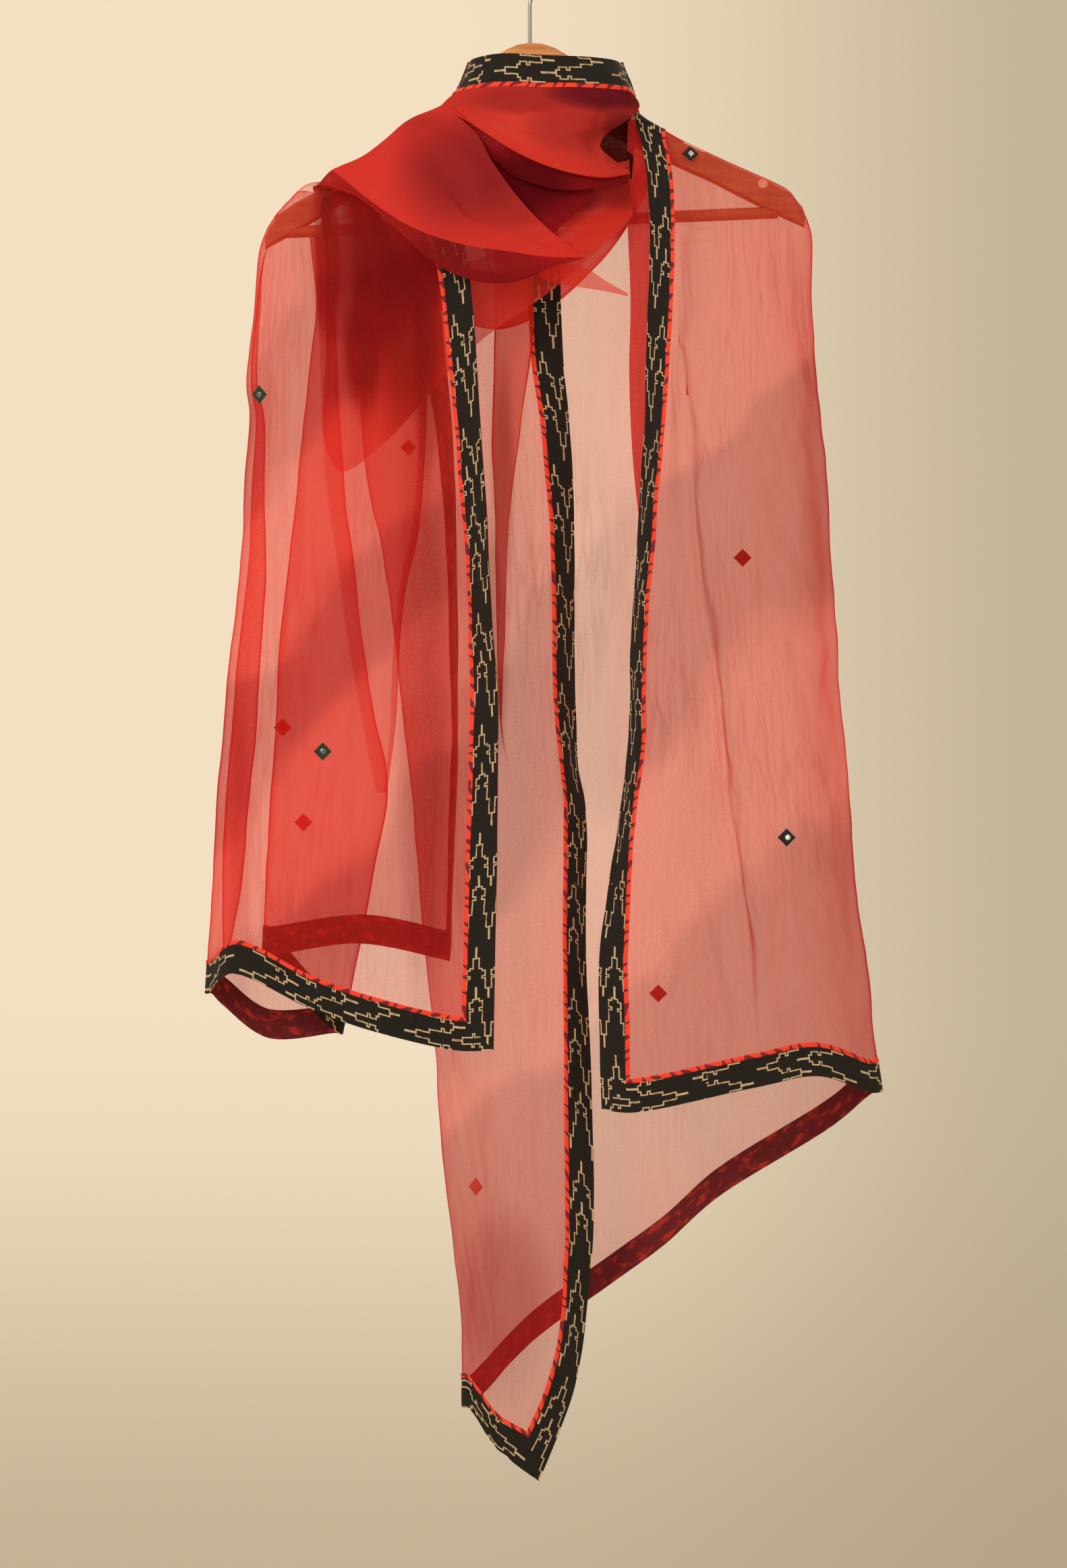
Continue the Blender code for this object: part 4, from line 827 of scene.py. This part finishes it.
def patch_cloth(name, colour):
    g = new_material(name)
    threads = g.noise(g.flat(), (1400, 500, 1), 1.0)
    tone = g.mix(threads, (*(0.7 * c for c in colour[:3]), 1), colour)
    return g.cotton(tone, threads * 0.3 + 0.6, g.bump(threads, 0.0003, 0.8), 0.3, 0.4, 0.3)


def mirror_glass(name, low, high):
    g = new_material(name)
    clouds = g.noise(g.place(), 400.0)
    return g.principled(g.mix(clouds, low, high), clouds * 0.2 + 0.10, g.bump(clouds, 0.0002, 0.3),
                        Metallic=0.85, Coat_Weight=0.5, Coat_Roughness=0.1)


def wood(name, light, dark):
    """Beech, darker away from the middle as painted shade on the arms under the cloth, with one pale plug low on the
    right.
    """
    g = new_material(name)
    place = g.place()
    rings = g.noise(place, (14, 160, 160), 4.0, 0.6)
    pores = g.noise(place, (90, 1600, 1600), 2.0, 0.6)
    broad = g.noise(place, (6, 20, 20))
    x, _, z = g.parts(place)
    flattened = g.node("CombineXYZ", {0: x, 2: z}).outputs[0]
    from_plug = g.node("VectorMath", {0: flattened, 1: PLUG}, operation="DISTANCE").outputs[1]
    tone = g.mix(g.ramp(rings, 0.35, 0.65), light, dark)
    tone = g.mix(g.ramp(pores, 0.56, 0.72) * 0.35, tone, (0.12, 0.045, 0.015, 1))
    tone = g.mix(broad * 0.3, tone, (0.62, 0.30, 0.12, 1))
    # Painted shade: the arms, which lie under the cloth, are drawn darker
    tone = g.mix(g.ramp(abs(x), 0.05, 0.10, 0.0, 0.66), tone, (0.24, 0.07, 0.022, 1))
    tone = g.mix(g.ramp(from_plug, 0.0034, 0.0042, 0.8, 0.0), tone, rgb(246, 220, 190))
    return g.principled(tone, rings * 0.2 + 0.34, g.bump(rings + pores, 0.0003, 0.35),
                        Coat_Weight=0.25, Coat_Roughness=0.25)


def steel(name):
    """Bright drawn wire with a very fine brushed tone."""
    g = new_material(name)
    scratches = g.noise(g.place(), (120, 120, 30), 1.0)
    tone = g.mix(scratches, (0.20, 0.19, 0.18, 1), (0.26, 0.25, 0.24, 1))
    return g.principled(tone, scratches * 0.06 + 0.30, g.bump(scratches, 0.00001, 0.1), Metallic=1.0)


# Camera, light and floor


def aim(thing, place, target):
    thing.location = place
    thing.rotation_euler = (Vector(target) - Vector(place)).to_track_quat("-Z", "Y").to_euler()


def set_stage():
    """Camera, three soft lamps, and a pale backdrop that darkens to the right and downwards."""
    scene = bpy.context.scene
    camera = bpy.data.objects.new("camera", bpy.data.cameras.new("camera"))
    scene.collection.objects.link(camera)
    camera.data.lens, camera.data.sensor_width = 224.8, 36
    aim(camera, (0.003, -8.0, -0.693), (0.003, 0, -0.693))
    scene.camera = camera
    scene.view_settings.view_transform = "Standard"
    scene.cycles.transparent_max_bounces = 40
    scene.cycles.max_bounces = 14
    scene.cycles.transmission_bounces = 10
    scene.cycles.diffuse_bounces = 5
    for name, place, size, energy, colour in (
        ("key", (-2.6, -3.4, 1.4), 1.8, 95.0, (1.0, 0.95, 0.88)),
        ("fill", (2.4, -4.0, 0.4), 2.4, 26.0, (1.0, 0.97, 0.93)),
        ("rim", (0.8, 3.6, 1.0), 2.2, 34.0, (1.0, 0.96, 0.9)),
    ):
        lamp = bpy.data.objects.new(name, bpy.data.lights.new(name, "AREA"))
        lamp.data.size, lamp.data.energy, lamp.data.color = size, energy, colour
        lamp.visible_camera = False
        scene.collection.objects.link(lamp)
        aim(lamp, place, (0, 0, -0.6))
    scene.world = bpy.data.worlds.new("studio")
    g = Graph(scene.world)
    x, _, z = g.parts(g.place("Generated"))
    colour = g.mix(g.ramp(x, -0.01, 0.06), rgb(243, 223, 193), rgb(194, 178, 150))
    colour = g.mix(g.ramp(z, -0.02, -0.085, 0.0, 0.75), colour, rgb(176, 158, 130))
    off_axis = g.math("MAXIMUM", g.ramp(abs(x), 0.06, 0.12), g.ramp(abs(z), 0.09, 0.15))
    colour = g.mix(off_axis, colour, rgb(232, 216, 192))
    g.finish(g.shader("Background", Color=colour, Strength=1.0), "OutputWorld")


def make_floor():
    """A round floor that fades out towards its rim."""
    radius, rings, turns = 8.0, 10, 64
    turned, out = np.meshgrid(np.linspace(0, 2 * math.pi, turns + 1), np.linspace(0, radius, rings + 1), indexing="ij")
    points = np.stack([out * np.cos(turned), out * np.sin(turned), 0 * out], axis=2).reshape(-1, 3)
    mesh = bpy.data.meshes.new("floor")
    mesh.from_pydata(points.tolist(), [], grid_faces(turns + 1, rings + 1).tolist())
    g = new_material("floor")
    place = g.place()
    far = g.node("VectorMath", {0: place}, operation="LENGTH").outputs["Value"]
    tone = g.mix(g.noise(place, 3.0, 3.0), rgb(226, 214, 194), rgb(236, 225, 206))
    diffuse, clear = g.shader("BsdfDiffuse", Color=tone), g.shader("BsdfTransparent")
    mesh.materials.append(g.finish(g.mix_shader(g.ramp(far, 3.5, 7.8), diffuse, clear)))
    floor = bpy.data.objects.new("floor", mesh)
    floor.location = (0, 0, -2.3)
    bpy.context.scene.collection.objects.link(floor)


set_stage()
make_floor()

# The cloth


def smooth_organza(name, cover, tint, shade):
    return organza(name, cover, tint, shade, crinkled=0, streaked=0.4)


# The second colour given to each organza is its shadow colour for painted shadow and painted shade; the slanting
# stripes given here are painted shadow
sheer = organza("end1", 0.40, (0.86, 0.048, 0.031), (0.62, 0.027, 0.026), ((-560, -408), (-1000, -700)), streaked=0.6)
sheer_2 = organza("end2", 0.43, shadow_bands=((-176, -112), (-368, -284), (-700, -455)))
# A darker copy of the organza for the narrow fold down the right of the neck: painted shade
folded = smooth_organza("folded", 0.93, (0.66, 0.036, 0.030), (0.36, 0.018, 0.024))
cowl_cloth = smooth_organza("cowl", 0.975, (0.86, 0.070, 0.050), (0.46, 0.034, 0.040))
gathered = smooth_organza("gathered", 0.975, (0.94, 0.068, 0.052), (0.46, 0.036, 0.042))
# A darker copy of the organza for the swag's lower strip: painted shade
shaded_swag_band = smooth_organza("shaded_swag_band", 0.60, (0.56, 0.030, 0.030), (0.36, 0.018, 0.024))
doubled = organza("doubled", 0.66, (0.84, 0.070, 0.050), (0.36, 0.016, 0.024), ((-170, 40),), crinkled=0.3)
tail = organza("tail", 0.74, (0.86, 0.060, 0.040), (0.50, 0.030, 0.030), crinkled=0.2, streaked=0.5)
behind = organza("behind", 0.66, shade=(0.36, 0.016, 0.022), crinkled=0.2)
# A much darker copy of the organza for the folds tucked inside the cowl and the swag: painted shade
inside = smooth_organza("inside", 0.97, (0.34, 0.014, 0.020), (0.16, 0.008, 0.010))
# Near-black organza for the sheet in the cowl's recess: painted shade
hollow_shade = organza("hollow_shade", 0.975, (0.07, 0.008, 0.007), (0.03, 0.004, 0.004), crinkled=0)
ikat_cloth, facing, piping = ikat("ikat_cotton"), facing_cloth("facing_cotton"), piping_cloth("piping_cotton")

# Sheet, ribs, which way its outer face lies, fineness, unevenness, material, CAD nodes, how it is held
SHEETS = {}
for name, table, face, fineness, roughly, material, nodes, held in (
    ("end1", END_1, -1, 1, 1.1, sheer, "end1_right_front end1_back end1_left_front", "hung"),
    ("end2", END_2, 1, 1, 0.8, sheer_2, "end2_front end2_side end2_inner end2_pleat", "hung"),
    ("neck_inner", NECK_INNER, 1, 0.8, 0, behind, "wrap_neck_inner", "draped"),
    ("neck_outer", NECK_OUTER, -1, 0.8, 0.6, behind, "wrap_neck_outer", "draped"),
    ("cowl", COWL, 1, 0.6, 0.6, cowl_cloth, "wrap_cowl", "draped"),
    ("cowl_fold", COWL_FOLD, 1, 0.6, 0.4, inside, "wrap_cowl_fold", "draped"),
    ("cowl_hollow", HOLLOW_SHADE_SHEET, 1, 1, 0, hollow_shade, "", "draped"),
    ("inner_fold", INNER_FOLD, 1, 1, 0, inside, "", "draped"),
    ("swag", SWAG, 1, 0.6, 0.5, gathered, "wrap_swag", "draped"),
    ("side_pleat", SIDE_PLEAT, 1, 1, 0.5, sheer_2, "", "hung"),
    ("swag_tail", TAIL, 1, 1, 0, behind, "", "draped"),
    ("inner_swag", INNER_SWAG, 1, 1, 0.5, tail, "wrap_inner_swag", "draped"),
    ("under_swag", UNDER_SWAG, 1, 1, 0.5, doubled, "wrap_under_swag", "draped"),
    ("neck_fold", NECK_FOLD, 1, 0.6, 0, folded, "wrap_neck_fold", "folded"),
):
    step = CLOTH_STEP * fineness
    base, ribs = loft(table, step, step * 1.25)
    grid = creased(base, ribs, name, face, roughly)
    SHEETS[name] = (grid, ribs, normals_of(grid) * face)
    made = make_sheet(f"stole_{name}", grid, material, nodes.split())
    if name == "swag":
        made.data.materials.append(shaded_swag_band)
        columns = np.arange(len(made.data.polygons)) % (grid.shape[1] - 1)
        made.data.polygons.foreach_set("material_index", (columns >= ribs[3]).astype(np.int32))

# Sheet, edge (a or b) or hem (h), first and last rib, name, mitres at its start and end, and its joins: where along
# the strip, and how far the figure shifts there
BORDER_HEIGHTS, FACING_HEIGHTS, PIPING_HEIGHTS = (0.25, 0.7), (-0.6, -0.2), (0.2, 0.6)
PIPING_LAP, PIPING_BULGE = 0.3, 0.55
UNPIPED = ("hem_back", "neck_inner", "hem2_side", "hem2_inner", "hem2_pleat", "edge_b2")
WITHOUT_CAD_FACING = ("neck_inner", "hem2_inner")
for sheet, key, first, last, name, mitres, *jumps in (
    ("end1", "a", 0, 2, "edge_a", (0, 1), (640, 31)),
    ("end1", "h", 0, 4, "hem_right", (1, 0), (92, 37)),
    ("end1", "h", 4, 11, "hem_back", (0, 0), (170, 29)),
    ("end1", "h", 11, 16, "hem_left", (0, 1)),
    ("end1", "b", 12, 16, "edge_b", (0, 1), (610, 23), (803, 41)),
    ("neck_inner", "a", 0, 2, "neck_inner", (0, 0)),
    ("neck_outer", "a", 0, 4, "neck_outer", (0, 0)),
    ("cowl", "a", 0, 4, "collar", (0, 0), (38, 33)),
    ("end2", "a", 0, 2, "edge_a2", (0, 1), (330, 27)),
    ("end2", "h", 0, 5, "hem2_front", (1, 0), (150, 39)),
    ("end2", "h", 5, 9, "hem2_side", (0, 0)),
    ("end2", "h", 9, 11, "hem2_inner", (0, 0)),
    ("end2", "h", 11, 14, "hem2_pleat", (0, 1)),
    ("end2", "b", 12, 14, "edge_b2", (0, 1)),
):
    grid, ribs, normals = SHEETS[sheet]
    part = slice(ribs[first], ribs[last] + 1) if key == "h" else slice(None)
    strip = (grid[:, part], normals[:, part], key, mitres)
    wide = np.linspace(0, BORDER_WIDTH, 7)
    border = trim(f"trim_{name}", *strip, ikat_cloth, "ikat_border", wide, *BORDER_HEIGHTS, jumps=jumps)
    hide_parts(f"border_{name}")
    back = trim(f"back_{name}", *strip, facing, "border_facing", wide, *FACING_HEIGHTS)
    if name not in WITHOUT_CAD_FACING:
        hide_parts(f"facing_{name}")
    if name not in UNPIPED:
        narrow = BORDER_WIDTH - PIPING_LAP + np.linspace(0, PIPING_WIDTH, 5)
        cord = trim(f"pipe_{name}", *strip, piping, "piping", narrow, *PIPING_HEIGHTS, bulge=PIPING_BULGE)
        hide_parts(f"piping_{name}")

# Diamond patches: name, sheet, first and last rib, x, z, half size, colour, mirror
MIRROR_RADIUS, DOME_RADIUS, PATCH_STEPS = 2.2, 2.4, 12
BLACK, GREEN, RED, MAROON = rgb(22, 20, 18), rgb(30, 50, 34), rgb(190, 40, 30), rgb(96, 16, 20)
WITHOUT_CAD_PATCH = ("left_low", "left_high")
glass = mirror_glass("mirror_glass", (0.42, 0.42, 0.38, 1), (0.72, 0.72, 0.68, 1))
grey_glass = mirror_glass("mirror_grey", (0.08, 0.10, 0.07, 1), (0.20, 0.23, 0.17, 1))
for name, sheet, first, last, x, z, half, colour, mirror in (
    ("shoulder", "end1", 0, 4, 131, -180, 6.6, BLACK, glass),
    ("right_upper", "end1", 4, 8, 175, -506, 7.4, MAROON, glass),
    ("right_lower", "end1", 0, 4, 210, -737, 7.4, BLACK, glass),
    ("right_hem", "end1", 4, 8, 106, -865, 7.4, RED, None),
    ("left_edge", "end2", 0, 5, -219, -376, 7.4, GREEN, grey_glass),
    ("left_front", "end2", 0, 5, -170, -668, 7.4, GREEN, grey_glass),
    ("left_side", "end2", 7, 9, -202, -646, 7.4, BLACK, None),
    ("strip", "end1", 11, 14, -44, -1021, 7.4, RED, None),
    ("left_low", "end2", 9, 11, -186, -723, 7.4, RED, None),
    ("left_high", "side_pleat", 0, 2, -99, -420, 6.6, MAROON, None),
):
    grid, ribs, normals = SHEETS[sheet]
    part = slice(ribs[first], ribs[last] + 1)
    points, ways = grid[:, part].reshape(-1, 3), normals[:, part].reshape(-1, 3)
    index = np.argmin(np.hypot(points[:, 0] - x, points[:, 2] - z))
    middle, way = points[index], ways[index]
    up = np.array((0, 0, 1.0)) - way * way[2]
    up /= np.linalg.norm(up)
    right = np.cross(up, way)
    line = np.linspace(-1, 1, PATCH_STEPS + 1)
    a, b = np.meshgrid(line, line, indexing="ij")
    places = middle + half * 0.5 * ((a + b)[..., None] * right + (a - b)[..., None] * up)
    near = np.array([points[np.argmin(((points - p) ** 2).sum(axis=1))] for p in places.reshape(-1, 3)])
    lift = np.maximum(((near - places.reshape(-1, 3)) @ way).reshape(a.shape), 0)
    edge = np.clip((1 - np.maximum(abs(a), abs(b))) * 3, 0, 1) ** 0.5
    from_middle = np.hypot(a + b, a - b) * 0.5 * half
    dome = np.where(from_middle < DOME_RADIUS, 0.5, 0) if mirror else 0
    top = places + way * (0.7 + 0.9 * edge + dome + lift)[..., None]
    bottom = places + way * (0.15 + lift)[..., None]
    made = shell(f"diamond_{name}", top, bottom, a * half, b * half, patch_cloth(f"patch_{name}", colour))
    if (np.cross(top[0, 1] - top[0, 0], top[1, 0] - top[0, 0]) @ way) < 0:
        made.data.flip_normals()
    if mirror:
        made.data.materials.append(mirror)
        for polygon, away in zip(made.data.polygons, from_middle[:-1, :-1].ravel()):
            polygon.material_index = int(away < MIRROR_RADIUS)
    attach(made, "root")
    if name not in WITHOUT_CAD_PATCH:
        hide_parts(f"patch_{name}")

# Hanger

for name, material in (
    ("hanger_arms", wood("beech_arms", rgb(226, 150, 84), rgb(168, 92, 40))),
    ("hanger_bar", wood("beech_bar", rgb(214, 140, 78), rgb(150, 82, 38))),
    ("hanger_hook", steel("hook_steel")),
):
    mesh = bpy.data.objects[name].data
    mesh.materials.clear()
    mesh.materials.append(material)
